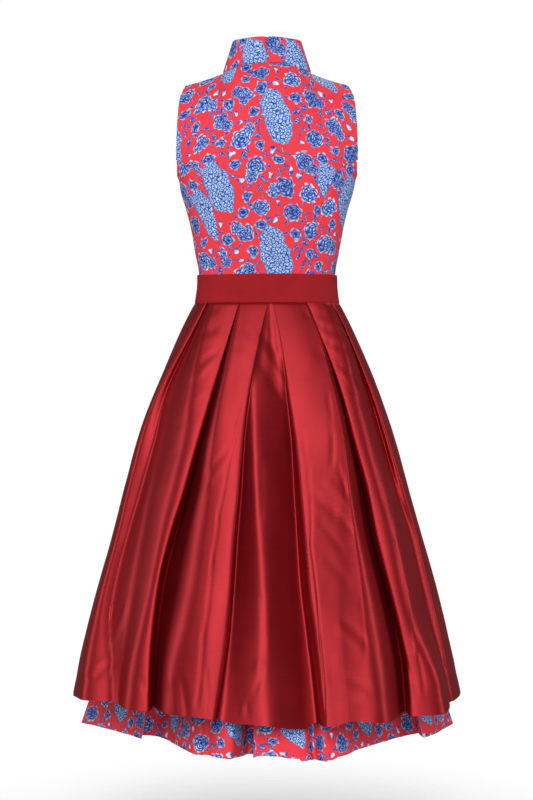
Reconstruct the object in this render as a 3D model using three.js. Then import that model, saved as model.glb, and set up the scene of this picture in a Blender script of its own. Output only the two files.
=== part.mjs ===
// Dirndl with a chalice collar: sleeveless printed bodice, waistband, pleated taffeta overskirt and a printed
// underskirt that shows below it. Millimetres, +Z up, the wearer faces +Y, +X is the wearer's right.
// The origin is midway between the shoulder seams, where the wearer's shoulders carry the dress.
import * as THREE from "three";

// ---------- driving sizes ----------
const CLOTH = 1.2; // bodice and underskirt wall
const TAFFETA = 1.0; // overskirt wall
const COLLAR_T = 1.6; // doubled and interfaced cloth
const BAND_T = 1.8; // doubled waistband
const SEAM = 0.3; // gap between neighbouring pieces
const WAIST_Z = -386; // waist seam, under the band
const BAND_TOP = -360;
const BAND_BOTTOM = -413;
const UNDERARM_Z = -186;
const OVER_HEM = -1130;
const UNDER_HEM = -1187;
const SQUARE = 2.2; // superellipse power of the torso sections
const PLEAT_PITCH = 1.7; // from one pleat layer to the next at the band

// ---------- small helpers ----------
const clamp01 = (t) => Math.min(1, Math.max(0, t));
const lerp = (a, b, t) => a + (b - a) * t;
const smooth = (t) => ((t = clamp01(t)), t * t * (3 - 2 * t));
const rad = (d) => (d * Math.PI) / 180;
const gauss = (x, w) => Math.exp(-(x * x) / (w * w));

// Reads column `key` of a table at position x of column `at`, with a smooth curve that never overshoots.
function read(table, at, key, x) {
  const n = table.length;
  const s = table[0][at] <= table[n - 1][at] ? 1 : -1;
  if ((x - table[0][at]) * s <= 0) return table[0][key];
  if ((x - table[n - 1][at]) * s >= 0) return table[n - 1][key];
  let i = 0;
  while ((x - table[i + 1][at]) * s > 0) i++;
  const slope = (k) => (table[k + 1][key] - table[k][key]) / (table[k + 1][at] - table[k][at]);
  const tangent = (k) => {
    if (k === 0) return slope(0);
    if (k === n - 1) return slope(n - 2);
    const a = slope(k - 1), b = slope(k);
    return a * b <= 0 ? 0 : (2 * a * b) / (a + b);
  };
  const h = table[i + 1][at] - table[i][at], t = (x - table[i][at]) / h;
  const t2 = t * t, t3 = t2 * t;
  return (
    (2 * t3 - 3 * t2 + 1) * table[i][key] + (t3 - 2 * t2 + t) * h * tangent(i) +
    (3 * t2 - 2 * t3) * table[i + 1][key] + (t3 - t2) * h * tangent(i + 1)
  );
}

// ---------- the torso that the bodice is cut for ----------
// Half width and depths behind and before the shoulder plane, from the waist seam to the underarm.
const TORSO = [
  { z: -386, half: 124.5, back: 86, front: 97 },
  { z: -360, half: 126.0, back: 87, front: 98 },
  { z: -343, half: 128.2, back: 89, front: 100 },
  { z: -320, half: 132.8, back: 92, front: 103 },
  { z: -298, half: 136.6, back: 95, front: 106 },
  { z: -276, half: 140.5, back: 98, front: 108 },
  { z: -254, half: 145.7, back: 101, front: 110 },
  { z: -232, half: 151.5, back: 103, front: 111 },
  { z: -210, half: 158.4, back: 105, front: 111 },
  { z: -186, half: 163.5, back: 106, front: 110 },
];
// Above the underarm: `w` runs from the underarm to the top edge. The centre back and centre front points, and the armhole edge.
const UPPER_BACK = [
  { w: 0.0, cy: -106, cz: -186, ex: 163.5, ey: 0, ez: -186, turn: 90 },
  { w: 0.16, cy: -106.5, cz: -152, ex: 166.5, ey: -24, ez: -177, turn: 78 },
  { w: 0.32, cy: -106, cz: -118, ex: 166.5, ey: -41, ez: -149, turn: 66 },
  { w: 0.52, cy: -102, cz: -76, ex: 165.0, ey: -47, ez: -105, turn: 58 },
  { w: 0.7, cy: -93, cz: -40, ex: 163.0, ey: -42, ez: -70, turn: 56 },
  { w: 0.86, cy: -78, cz: -8, ex: 159.5, ey: -24, ez: -36, turn: 55 },
  { w: 1.0, cy: -58, cz: 19.5, ex: 151.0, ey: 3, ez: -11, turn: 55 },
];
const UPPER_FRONT = [
  { w: 0.0, cy: 110, cz: -186, ex: 163.5, ey: 0, ez: -186, turn: 90 },
  { w: 0.16, cy: 109, cz: -178, ex: 164.5, ey: 25, ez: -178, turn: 78 },
  { w: 0.32, cy: 108, cz: -170, ex: 160.0, ey: 41, ez: -152, turn: 66 },
  { w: 0.52, cy: 106.5, cz: -161, ex: 156.5, ey: 45, ez: -106, turn: 58 },
  { w: 0.7, cy: 105.5, cz: -153, ex: 156.5, ey: 41, ez: -70, turn: 56 },
  { w: 0.86, cy: 104.5, cz: -146, ex: 156.0, ey: 25, ez: -36, turn: 55 },
  { w: 1.0, cy: 104, cz: -140, ex: 151.0, ey: 3, ez: -11, turn: 55 },
];
const NECK = { share: 0.5, half: 81.5, depth: 62, y: 4, zBack: 19.5, zSide: 15 }; // back neck seam
// Front neckline from the shoulder to the point of the V.
const NECKLINE = [
  { s: 0.0, x: 81.5, y: 4, z: 15 },
  { s: 0.22, x: 78, y: 39, z: -9 },
  { s: 0.48, x: 60, y: 74, z: -51 },
  { s: 0.75, x: 32, y: 96, z: -97 },
  { s: 1.0, x: 0, y: 104, z: -140 },
];
const BUST = { x: 84, z: -247, out: 24, wide: 62, high: 66, bridge: 9 };

const pow = (v, p) => Math.sign(v) * Math.abs(v) ** p;

// The front top edge: V neckline, then shoulder seam. u is 0 at the centre front, 1 at the shoulder tip.
function topEdge(u, back) {
  if (u <= NECK.share) {
    const s = u / NECK.share;
    if (back) {
      const a = (s * Math.PI) / 2;
      return [NECK.half * Math.sin(a), NECK.y - NECK.depth * Math.cos(a), lerp(NECK.zBack, NECK.zSide, Math.sin(a) ** 2)];
    }
    return ["x", "y", "z"].map((k) => read(NECKLINE, "s", k, 1 - s));
  }
  const s = (u - NECK.share) / (1 - NECK.share);
  const sag = 1.5 * Math.sin(Math.PI * s);
  return [lerp(NECK.half, 151, s), lerp(4, 3, s), lerp(15, -11, s) - sag];
}

// A point of the torso surface on the +X side. u: 0 centre, 1 side. v: -1 waist seam, 0 underarm, 1 top edge.
function torso(u, v, back) {
  const depthSign = back ? -1 : 1;
  let p;
  if (v <= 0) {
    const z = lerp(UNDERARM_Z, WAIST_Z, -v);
    const a = (u * Math.PI) / 2, e = 2 / SQUARE;
    const half = read(TORSO, "z", "half", z), depth = read(TORSO, "z", back ? "back" : "front", z);
    p = [half * pow(Math.sin(a), e), depthSign * depth * pow(Math.cos(a), e), z];
  } else {
    const T = back ? UPPER_BACK : UPPER_FRONT;
    const g = (k, w) => read(T, "w", k, w);
    const shape = (w) => {
      const turn = rad(g("turn", w)), a = u * turn;
      const e = lerp(2 / SQUARE, 1, smooth(w * 3));
      const x = (g("ex", w) * pow(Math.sin(a), e)) / pow(Math.sin(turn), e);
      const c = (pow(Math.cos(a), e) - pow(Math.cos(turn), e)) / (1 - pow(Math.cos(turn), e));
      const lift = Math.sin(a) ** 2 / Math.sin(turn) ** 2;
      return [x, lerp(g("ey", w), g("cy", w), c), lerp(g("cz", w), g("ez", w), lift)];
    };
    const here = shape(v), top = shape(1), edge = topEdge(u, back);
    const k = back ? v ** 2.2 : v ** 1.35;
    p = here.map((c, i) => c + k * (edge[i] - top[i]));
  }
  if (!back) {
    // cups: the princess seams give the bust its room, and the cloth bridges the middle
    const dz = (p[2] - BUST.z) / BUST.high, dx = (p[0] - BUST.x) / BUST.wide;
    const fade = smooth((p[2] - BAND_TOP - 4) / 60) * smooth((1 - u) / 0.4);
    p[1] += fade * (BUST.out * Math.exp(-dz * dz - dx * dx) + BUST.bridge * Math.exp(-dz * dz - (p[0] / 55) ** 2));
  }
  return p;
}

// ---------- walls from grids ----------
const cross = (a, b) => [a[1] * b[2] - a[2] * b[1], a[2] * b[0] - a[0] * b[2], a[0] * b[1] - a[1] * b[0]];
const sub = (a, b) => [a[0] - b[0], a[1] - b[1], a[2] - b[2]];
const unit = (a) => {
  const l = Math.hypot(...a) || 1;
  return [a[0] / l, a[1] / l, a[2] / l];
};

// grid[row][column] is the outer face, inner[row][column] the inner one. Rows go up, columns go anticlockwise seen from above
// when `loop` is true. Faces are turned round if the wall comes out inside out.
function wall(grid, inner, loop) {
  const rows = grid.length, cols = grid[0].length;
  const pts = [], tris = [];
  for (const g of [grid, inner]) for (const r of g) for (const p of r) pts.push(...p);
  const id = (s, i, j) => s * rows * cols + i * cols + (j % cols);
  const quad = (a, b, c, d) => tris.push(a, b, c, a, c, d);
  const last = loop ? cols : cols - 1;
  for (let i = 0; i < rows - 1; i++)
    for (let j = 0; j < last; j++) {
      quad(id(0, i, j), id(0, i, j + 1), id(0, i + 1, j + 1), id(0, i + 1, j));
      quad(id(1, i, j), id(1, i + 1, j), id(1, i + 1, j + 1), id(1, i, j + 1));
    }
  for (let j = 0; j < last; j++) {
    quad(id(0, 0, j), id(1, 0, j), id(1, 0, j + 1), id(0, 0, j + 1));
    quad(id(0, rows - 1, j), id(0, rows - 1, j + 1), id(1, rows - 1, j + 1), id(1, rows - 1, j));
  }
  if (!loop)
    for (let i = 0; i < rows - 1; i++) {
      quad(id(0, i, 0), id(0, i + 1, 0), id(1, i + 1, 0), id(1, i, 0));
      quad(id(0, i, cols - 1), id(1, i, cols - 1), id(1, i + 1, cols - 1), id(0, i + 1, cols - 1));
    }
  let volume = 0;
  const P = (k) => pts.slice(3 * k, 3 * k + 3);
  for (let t = 0; t < tris.length; t += 3) {
    const a = P(tris[t]), b = P(tris[t + 1]), c = P(tris[t + 2]), n = cross(b, c);
    volume += (a[0] * n[0] + a[1] * n[1] + a[2] * n[2]) / 6;
  }
  if (volume < 0) for (let t = 0; t < tris.length; t += 3) [tris[t + 1], tris[t + 2]] = [tris[t + 2], tris[t + 1]];
  const g = new THREE.BufferGeometry();
  g.setAttribute("position", new THREE.BufferAttribute(new Float32Array(pts), 3));
  g.setIndex(tris);
  g.computeVertexNormals();
  return g;
}

// The inner face of a panel: each point moved `thick` against the outward normal. `fix(n, i, j)` may turn a normal at a seam.
function inside(grid, thick, outward, fix) {
  const rows = grid.length, cols = grid[0].length;
  return grid.map((r, i) =>
    r.map((p, j) => {
      const du = sub(r[Math.min(j + 1, cols - 1)], r[Math.max(j - 1, 0)]);
      const dv = sub(grid[Math.min(i + 1, rows - 1)][j], grid[Math.max(i - 1, 0)][j]);
      let n = unit(cross(du, dv));
      if (n[0] * outward(p)[0] + n[1] * outward(p)[1] + n[2] * outward(p)[2] < 0) n = n.map((c) => -c);
      if (fix) n = unit(fix(n, i, j));
      return [p[0] - thick * n[0], p[1] - thick * n[1], p[2] - thick * n[2]];
    }),
  );
}
const mirrored = (grid) => grid.map((r) => r.map((p) => [-p[0], p[1], p[2]]));

const group = new THREE.Group();
const PRINT = new THREE.MeshStandardMaterial({ color: 0xee3f46, roughness: 0.72, metalness: 0 });
const TAFFETA_RED = new THREE.MeshStandardMaterial({ color: 0x9c1f27, roughness: 0.38, metalness: 0.05 });
const BAND_RED = new THREE.MeshStandardMaterial({ color: 0x98161d, roughness: 0.6, metalness: 0 });
function add(name, geometry, material) {
  const m = new THREE.Mesh(geometry, material.clone());
  m.name = name;
  group.add(m);
}

// ---------- bodice panels ----------
const LOWER_ROWS = [-1, -0.8, -0.6, -0.4, -0.2, 0];
// Princess seams: u at each height. They run from the waist into the armhole.
const BACK_SEAM = [
  { v: -1, u: 0.425 }, { v: -0.78, u: 0.422 }, { v: -0.45, u: 0.425 }, { v: -0.28, u: 0.447 },
  { v: -0.13, u: 0.48 }, { v: 0, u: 0.53 }, { v: 0.1, u: 0.6 }, { v: 0.2, u: 0.74 }, { v: 0.3, u: 1 },
];
const FRONT_SEAM = [
  { v: -1, u: 0.36 }, { v: -0.78, u: 0.37 }, { v: -0.45, u: 0.4 }, { v: -0.28, u: 0.43 },
  { v: -0.13, u: 0.47 }, { v: 0, u: 0.53 }, { v: 0.12, u: 0.62 }, { v: 0.26, u: 0.76 }, { v: 0.4, u: 1 },
];
const half = SEAM / 2;
const SHOULDER_UP = unit([26, 0, 69.5]);

// The outward direction of the torso surface.
function torsoNormal(u, v, back) {
  const e = 0.004, at = (du, dv) => torso(clamp01(u + du), Math.min(1, Math.max(-1, v + dv)), back);
  const n = unit(cross(sub(at(e, 0), at(-e, 0)), sub(at(0, e), at(0, -e))));
  return back ? n : n.map((c) => -c);
}
function panel(back, which, wide) {
  const SEAMS = back ? BACK_SEAM : FRONT_SEAM, join = SEAMS[SEAMS.length - 1].v;
  const centre = which === "centre";
  const rows = [...LOWER_ROWS, 0.1, 0.2, join - 0.03, ...(centre ? [join, 0.5, 0.65, 0.82, 1] : [])];
  const girth = 105; // turns millimetres of seam gap into u, with room for the facets
  const gap = half / girth;
  const grid = [], inner = [];
  for (const v of rows) {
    const seam = v >= join ? 1 : read(SEAMS, "v", "u", v);
    const from = centre ? (back ? 0 : gap) : seam + gap;
    const to = centre ? (v >= join ? 1 : seam - gap) : v <= 0 ? 1 - gap : 1;
    const outer = [], under = [];
    for (let j = 0; j <= wide; j++) {
      const u = lerp(from, to, j / wide), w = v === 1 ? 1 - half / 150 : v;
      const p = torso(u, w, back);
      let n = torsoNormal(u, w, back);
      if (v === 1 && j / wide >= NECK.share) {
        p[1] += back ? -half : half; // shoulder seam
        n = SHOULDER_UP;
      }
      if (v === -1) {
        p[2] += half;
        n = unit([n[0], n[1], 0]);
      }
      if (centre && j === 0) n = unit([0, n[1], n[2]]);
      if (!centre && v <= 0 && j === wide) n = unit([n[0], 0, n[2]]);
      outer.push(p);
      under.push(p.map((c, k) => c - CLOTH * n[k]));
    }
    grid.push(outer);
    inner.push(under);
  }
  return { grid, inner };
}

// The back panel is one piece: its right half and the mirror image of it.
{
  const { grid, inner } = panel(true, "centre", 10);
  const whole = (g) => g.map((r) => [...r.slice(1).reverse().map((p) => [-p[0], p[1], p[2]]), ...r]);
  add("back_panel", wall(whole(grid), whole(inner), false), PRINT);
}
for (const [side, flip] of [["right", false], ["left", true]]) {
  for (const [name, back, which, wide] of [
    ["back_side_" + side, true, "side", 5],
    ["front_" + side, false, "centre", 10],
    ["front_side_" + side, false, "side", 5],
  ]) {
    const { grid, inner } = panel(back, which, wide);
    add(name, flip ? wall(mirrored(grid), mirrored(inner), false) : wall(grid, inner, false), PRINT);
  }
}

// ---------- collar: two halves joined at the centre back, each tapering down its side of the V ----------
// s runs along the neck seam from the centre back; `rise`, `lean` and `back` are where the free edge stands over the seam.
const COLLAR = [
  { s: 0.0, rise: 50.5, lean: 0, tilt: 9 },
  { s: 0.18, rise: 51, lean: 7, tilt: 7 },
  { s: 0.42, rise: 54, lean: 17.5, tilt: 0 },
  { s: 0.5, rise: 55, lean: 18.8, tilt: -2 },
  { s: 0.62, rise: 48, lean: 16, tilt: -6 },
  { s: 0.78, rise: 30, lean: 9, tilt: -7 },
  { s: 0.92, rise: 13, lean: 3.5, tilt: -4 },
  { s: 1.0, rise: 5, lean: 0.6, tilt: -1.5 },
];
function neckSeam(s) {
  return s <= 0.5 ? topEdge(NECK.share * 2 * s, true) : topEdge(NECK.share * 2 * (1 - s), false);
}
function collarPoint(s, h) {
  const p = neckSeam(s);
  const rise = read(COLLAR, "s", "rise", s), lean = read(COLLAR, "s", "lean", s), tilt = read(COLLAR, "s", "tilt", s);
  const bow = 2.5 * Math.sin(Math.PI * h) * clamp01(rise / 50);
  const outX = Math.sin(clamp01(s * 2) * (Math.PI / 2)) * bow, outY = (s < 0.5 ? -Math.cos(s * Math.PI) : 0.3) * bow;
  return [p[0] - lean * h ** 1.15 - outX * 0.4, p[1] + tilt * h - outY * 0.4, p[2] + rise * h];
}
for (const [side, flip] of [["right", false], ["left", true]]) {
  const COLS = 10, ROWS = 4, grid = [], inner = [];
  for (let i = 0; i <= ROWS; i++) {
    grid.push(Array.from({ length: COLS + 1 }, (_, j) => {
      const s = j / COLS, p = collarPoint(s, i / ROWS);
      if (i === 0) {
        const back = s <= 0.5, u = NECK.share * 2 * (back ? s : 1 - s);
        const up = unit(sub(torso(u, 1, back), torso(u, 0.97, back)));
        p.forEach((c, k) => (p[k] = c + (back ? 0.45 : 0.75) * up[k]));
      }
      if (j === 0 || j === COLS) p[0] = half;
      return p;
    }));
  }
  const free = inside(grid, COLLAR_T, (p) => [p[0], p[1], 0], (n, i, j) => {
    const s = j / COLS, back = s <= 0.5, u = NECK.share * 2 * (back ? s : 1 - s);
    if (i === 0) n = s === 0.5 ? SHOULDER_UP : torsoNormal(u, 1, back);
    return j === 0 || j === COLS ? [0, n[1], n[2]] : n;
  });
  inner.push(...free);
  add("collar_" + side, flip ? wall(mirrored(grid), mirrored(inner), false) : wall(grid, inner, false), PRINT);
}

// ---------- waistband ----------
const BAND = [
  { z: -360, half: 129.0, back: 90.0, front: 101.0 },
  { z: -380, half: 129.4, back: 90.6, front: 101.6 },
  { z: -398, half: 131.2, back: 92.2, front: 103.0 },
  { z: -413, half: 133.6, back: 94.6, front: 105.0 },
];
function oval(halfW, back, front, deg, square = SQUARE) {
  const a = rad(deg), e = 2 / square, c = Math.cos(a);
  return [halfW * pow(Math.sin(a), e), -(c > 0 ? back : front) * pow(c, e)];
}
{
  const COLS = 60, ROWS = 2;
  const ring = (out) =>
    Array.from({ length: ROWS + 1 }, (_, i) => {
      const z = lerp(BAND_BOTTOM + half, BAND_TOP, i / ROWS);
      return Array.from({ length: COLS }, (_, j) => {
        const [x, y] = oval(
          read(BAND, "z", "half", z) - out, read(BAND, "z", "back", z) - out, read(BAND, "z", "front", z) - out, (360 * j) / COLS - 180,
        );
        return [x, y, z];
      });
    });
  add("waistband", wall(ring(0), ring(BAND_T), true), BAND_RED);
}

// The part of each closed row that runs from between points `from` and `from + 1` to between `to` and `to + 1`. Both ends stop
// half a seam gap short of the middle.
function stretch(rows, from, to) {
  return rows.map((row) => {
    const at = (k) => row[k % row.length];
    const end = (k, way) => {
      const a = at(k), b = at(k + 1), d = unit(sub(b, a));
      return a.map((c, i) => (c + b[i]) / 2 + way * half * d[i]);
    };
    return [end(from, 1), ...Array.from({ length: to - from }, (_, k) => at(from + 1 + k)), end(to, -1)];
  });
}

// ---------- overskirt ----------
// Outline: half width, and depth as a share of it.
const SKIRT = [
  { z: -413, half: 134.2, deep: 0.715, square: 2.2 },
  { z: -443, half: 150.2, deep: 0.745, square: 2.15 },
  { z: -489, half: 171.5, deep: 0.785, square: 2.1 },
  { z: -535, half: 191.5, deep: 0.815, square: 2.06 },
  { z: -590, half: 212, deep: 0.84, square: 2.03 },
  { z: -645, half: 231, deep: 0.858, square: 2 },
  { z: -701, half: 248, deep: 0.872, square: 2 },
  { z: -775, half: 268.5, deep: 0.885, square: 2 },
  { z: -848, half: 289, deep: 0.895, square: 2 },
  { z: -922, half: 309.5, deep: 0.905, square: 2 },
  { z: -996, half: 328, deep: 0.912, square: 2 },
  { z: -1070, half: 345.5, deep: 0.918, square: 2 },
  { z: -1130, half: 358.5, deep: 0.92, square: 2 },
];
// One row for each pleat. Angles run from the centre back towards the wearer's right, in degrees, at shares 0, 0.1, 0.25, 0.5, 0.75
// and 1 of the drop. `to` is the way the fold edge points, `under` how far the pleat goes back beneath at the band,
// `open` how far its inner fold has come out at the hem, `ridge` and `deep` how proud and how deep it is at the hem.
const PLEATS = [
  { name: "front_inner_left", to: -1, a0: -178, a10: -174, a25: -171, a50: -168.5, a75: -167, a100: -166, under: 11, open: 3, ridge: 7, deep: 40 },
  { name: "front_mid_left", to: -1, a0: -150, a10: -146.5, a25: -144, a50: -142, a75: -140, a100: -138.5, under: 13, open: 5.5, ridge: 8, deep: 48 },
  { name: "front_outer_left", to: -1, a0: -120, a10: -117, a25: -115, a50: -112, a75: -113, a100: -118, under: 14, open: 5, ridge: 6, deep: 26 },
  { name: "back_outer_left", to: 1, a0: -56, a10: -61, a25: -66, a50: -71.5, a75: -64, a100: -58, under: 15, open: 5, ridge: 6, deep: 26 },
  { name: "back_mid_left", to: 1, a0: -22.7, a10: -25.2, a25: -28.5, a50: -33.4, a75: -35.4, a100: -37.5, under: 13, open: 5.5, ridge: 8, deep: 52 },
  { name: "back_inner_left", to: 1, a0: 0.6, a10: -5.8, a25: -8.8, a50: -11.5, a75: -11.6, a100: -13.8, under: 11, open: 3.5, ridge: 8, deep: 30 },
  { name: "back_inner_right", to: -1, a0: 3.8, a10: 7.8, a25: 11, a50: 12.6, a75: 13.2, a100: 14.3, under: 11, open: 4.5, ridge: 8, deep: 36 },
  { name: "back_mid_right", to: -1, a0: 32.1, a10: 36.6, a25: 38.8, a50: 40.6, a75: 42.3, a100: 45.3, under: 13, open: 5.5, ridge: 8, deep: 44 },
  { name: "back_outer_right", to: -1, a0: 65.5, a10: 66.4, a25: 67.2, a50: 70.8, a75: 70, a100: 62, under: 14, open: 5, ridge: 6, deep: 26 },
  { name: "front_outer_right", to: 1, a0: 119, a10: 115.5, a25: 113, a50: 110, a75: 112, a100: 117, under: 14, open: 5, ridge: 6, deep: 24 },
  { name: "front_mid_right", to: 1, a0: 149, a10: 145.5, a25: 142.5, a50: 140, a75: 138, a100: 137, under: 13, open: 5.5, ridge: 8, deep: 52 },
  { name: "front_inner_right", to: 1, a0: 178, a10: 173.5, a25: 170.5, a50: 168, a75: 167.5, a100: 166.5, under: 11, open: 3, ridge: 7, deep: 44 },
];
// How far the inner fold has travelled out from `under` to `open`, and the growth of ridge and depth, at shares of the drop.
const OPENING = [
  { t: 0, come: 0, ridge: 0, deep: 0.05 },
  { t: 0.05, come: 0.3, ridge: 0.14, deep: 0.1 },
  { t: 0.1, come: 0.55, ridge: 0.3, deep: 0.2 },
  { t: 0.25, come: 0.84, ridge: 0.7, deep: 0.5 },
  { t: 0.5, come: 0.95, ridge: 1, deep: 0.86 },
  { t: 0.75, come: 1, ridge: 1, deep: 1 },
  { t: 1, come: 1, ridge: 0.8, deep: 0.95 },
];
// How the hem is lifted round the skirt, where the cloth swings out.
const HEM_LIFT = [
  { a: -180, up: 0 }, { a: -130, up: 10 }, { a: -90, up: 2 }, { a: -52, up: 20 }, { a: -30, up: 14 }, { a: -14, up: 2 },
  { a: 10, up: 0 }, { a: 22, up: 5 }, { a: 40, up: 2 }, { a: 62, up: 5 }, { a: 90, up: 2 }, { a: 130, up: 10 }, { a: 180, up: 0 },
];
const PROUD = 10;
const SPREAD = [0, 0.1, 0.25, 0.5, 0.75, 1];
function foldAngle(f, t) {
  const rows = SPREAD.map((s, i) => ({ t: s, a: [f.a0, f.a10, f.a25, f.a50, f.a75, f.a100][i] }));
  return read(rows, "t", "a", t);
}
const FACE_POINTS = [0.12, 0.36, 0.62, 0.86]; // along a face from the fold before it to the fold after it

// The cloth's path round the skirt at share t of the drop: angle and distance out from the outline, in order of rising angle.
function skirtPath(t) {
  const g = (k) => read(OPENING, "t", k, t);
  const folds = PLEATS.map((f) => {
    const a = foldAngle(f, t);
    const inner = a + f.to * lerp(-f.under, f.open, g("come"));
    const ridge = f.ridge * g("ridge");
    const depth = Math.max(2 * PLEAT_PITCH, f.deep * g("deep"));
    return { ...f, a, inner, ridge, depth };
  });
  const path = [];
  folds.forEach((f, k) => {
    const next = folds[(k + 1) % folds.length], turn = k === folds.length - 1 ? 360 : 0;
    const mid = Math.max(PLEAT_PITCH, 0.3 * f.depth);
    const edge = [
      { a: f.a, r: f.ridge },
      { a: f.a + f.to * 0.25 * g("come"), r: f.ridge - mid },
      { a: f.inner, r: f.ridge - Math.max(PLEAT_PITCH, f.depth - mid * 0.5) },
      { a: f.inner + f.to * 1.4 * g("come"), r: f.ridge - Math.max(2 * PLEAT_PITCH, f.depth) },
    ];
    path.push(...(f.to > 0 ? edge : edge.reverse()));
    // the face from this fold to the next
    const startA = f.to > 0 ? f.inner + 1.4 * g("come") : f.a, startR = f.to > 0 ? f.ridge - Math.max(2 * PLEAT_PITCH, f.depth) : f.ridge;
    const nMid = Math.max(2 * PLEAT_PITCH, next.depth);
    const endA = turn + (next.to > 0 ? next.a : next.inner - 1.4 * g("come")), endR = next.to > 0 ? next.ridge : next.ridge - nMid;
    for (const s of FACE_POINTS) {
      const rise = startR === endR ? 0 : f.to > 0 ? s ** 0.75 : 1 - (1 - s) ** 0.75;
      path.push({ a: lerp(startA, endA, s), r: lerp(startR, endR, rise) + 5 * g("ridge") * Math.sin(Math.PI * s) });
    }
  });
  for (const p of path) p.r -= PROUD * g("ridge"); // the outline is measured over the proud faces at the sides
  return path;
}
function skirtPoint(z, a, out, t) {
  const h = read(SKIRT, "z", "half", z), d = h * read(SKIRT, "z", "deep", z), q = read(SKIRT, "z", "square", z);
  const [x, y] = oval(h, d, d + lerp(10, 0, smooth(t * 3)), a, q);
  const [nx, ny] = unit([x / (h * h), y / (d * d), 0]);
  const up = read(HEM_LIFT, "a", "up", a > 180 ? a - 360 : a) * smooth((t - 0.55) / 0.45);
  return [x + nx * out, y + ny * out, z + up];
}
{
  const DROPS = [0, 0.04, 0.1, 0.2, 0.35, 0.52, 0.7, 0.86, 1];
  const outer = [], inner = [];
  for (const t of [...DROPS].reverse()) {
    const z = lerp(BAND_BOTTOM - half, OVER_HEM, t);
    const path = skirtPath(t).map((p) => skirtPoint(z, p.a, p.r, t));
    const n = path.length;
    const shift = (side) =>
      path.map((p, j) => {
        const a = unit(sub(p, path[(j + n - 1) % n])), b = unit(sub(path[(j + 1) % n], p));
        const na = [a[1], -a[0]], nb = [b[1], -b[0]];
        const m = unit([na[0] + nb[0], na[1] + nb[1], 0]);
        const c = Math.max(0.55, m[0] * na[0] + m[1] * na[1]);
        const k = (side * TAFFETA) / 2 / c;
        return [p[0] + m[0] * k, p[1] + m[1] * k, p[2]];
      });
    outer.push(shift(1));
    inner.push(shift(-1));
  }
  add("overskirt", wall(outer, inner, true), TAFFETA_RED);
}

// ---------- underskirt ----------
const UNDER = [
  { z: -386, half: 124.5, deep: 0.69 },
  { z: -413, half: 123, deep: 0.68 },
  { z: -450, half: 134, deep: 0.69 },
  { z: -535, half: 163, deep: 0.74 },
  { z: -645, half: 196, deep: 0.79 },
  { z: -775, half: 228, deep: 0.82 },
  { z: -922, half: 264, deep: 0.84 },
  { z: -1050, half: 300, deep: 0.86 },
  { z: -1130, half: 330, deep: 0.88 },
  { z: -1187, half: 345.5, deep: 0.92 },
];
// Soft folds, each under a fold of the overskirt: angle at the hem, width in degrees, and how far it stands out or in.
const HEM_FOLDS = [
  { a: -166, wide: 7, out: -24 }, { a: -150, wide: 7, out: 3 }, { a: -139, wide: 9, out: -36 }, { a: -118, wide: 9, out: -12 }, { a: -96, wide: 9, out: 4 },
  { a: -60, wide: 12, out: -16 }, { a: -47, wide: 4, out: 8 }, { a: -37, wide: 7, out: -48 }, { a: -23, wide: 6, out: 6 }, { a: -13, wide: 6, out: -9 },
  { a: 1.5, wide: 4, out: -6 }, { a: 14.5, wide: 6, out: -15 }, { a: 27, wide: 7, out: 3 }, { a: 46, wide: 10, out: -34 },
  { a: 62, wide: 8, out: -12 }, { a: 96, wide: 9, out: 4 }, { a: 117, wide: 9, out: -12 }, { a: 138, wide: 9, out: -36 }, { a: 152, wide: 7, out: 3 }, { a: 167, wide: 7, out: -26 },
];
const UNDER_LIFT = [
  { a: -180, up: 0 }, { a: -130, up: 8 }, { a: -90, up: 4 }, { a: -55, up: 14 }, { a: -38, up: 14 }, { a: -20, up: 2 }, { a: 0, up: 2 },
  { a: 14, up: 0 }, { a: 36, up: 8 }, { a: 56, up: 12 }, { a: 90, up: 3 }, { a: 130, up: 8 }, { a: 180, up: 0 },
];
function underPoint(z, a, thick) {
  const h = read(UNDER, "z", "half", z), d = h * read(UNDER, "z", "deep", z);
  const t = (z - WAIST_Z) / (UNDER_HEM - WAIST_Z);
  const [x, y] = oval(h, d, d + lerp(11, 0, smooth(t * 3)), a, lerp(2.2, 2, smooth(t * 4)));
  const [nx, ny] = unit([x / (h * h), y / (d * d), 0]);
  const grow = smooth((t - 0.2) / 0.7);
  let out = -thick;
  for (const f of HEM_FOLDS) out += f.out * grow * gauss(a - f.a, f.wide);
  const up = read(UNDER_LIFT, "a", "up", a) * smooth((t - 0.75) / 0.25);
  return [x + nx * out, y + ny * out, z + up];
}
{
  const COLS = 64, LEVELS = [-1187, -1160, -1120, -1030, -820, -480, -386.15];
  const ring = (thick) => LEVELS.map((z) => Array.from({ length: COLS }, (_, j) => underPoint(z, (360 * j) / COLS - 180, thick)));
  const left = COLS / 4 - 1, right = (3 * COLS) / 4;
  add("underskirt_back", wall(stretch(ring(0), left, right), stretch(ring(CLOTH), left, right), false), PRINT);
  add("underskirt_front", wall(stretch(ring(0), right, left + COLS), stretch(ring(CLOTH), right, left + COLS), false), PRINT);
}

export default group;
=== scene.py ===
import math

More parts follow.
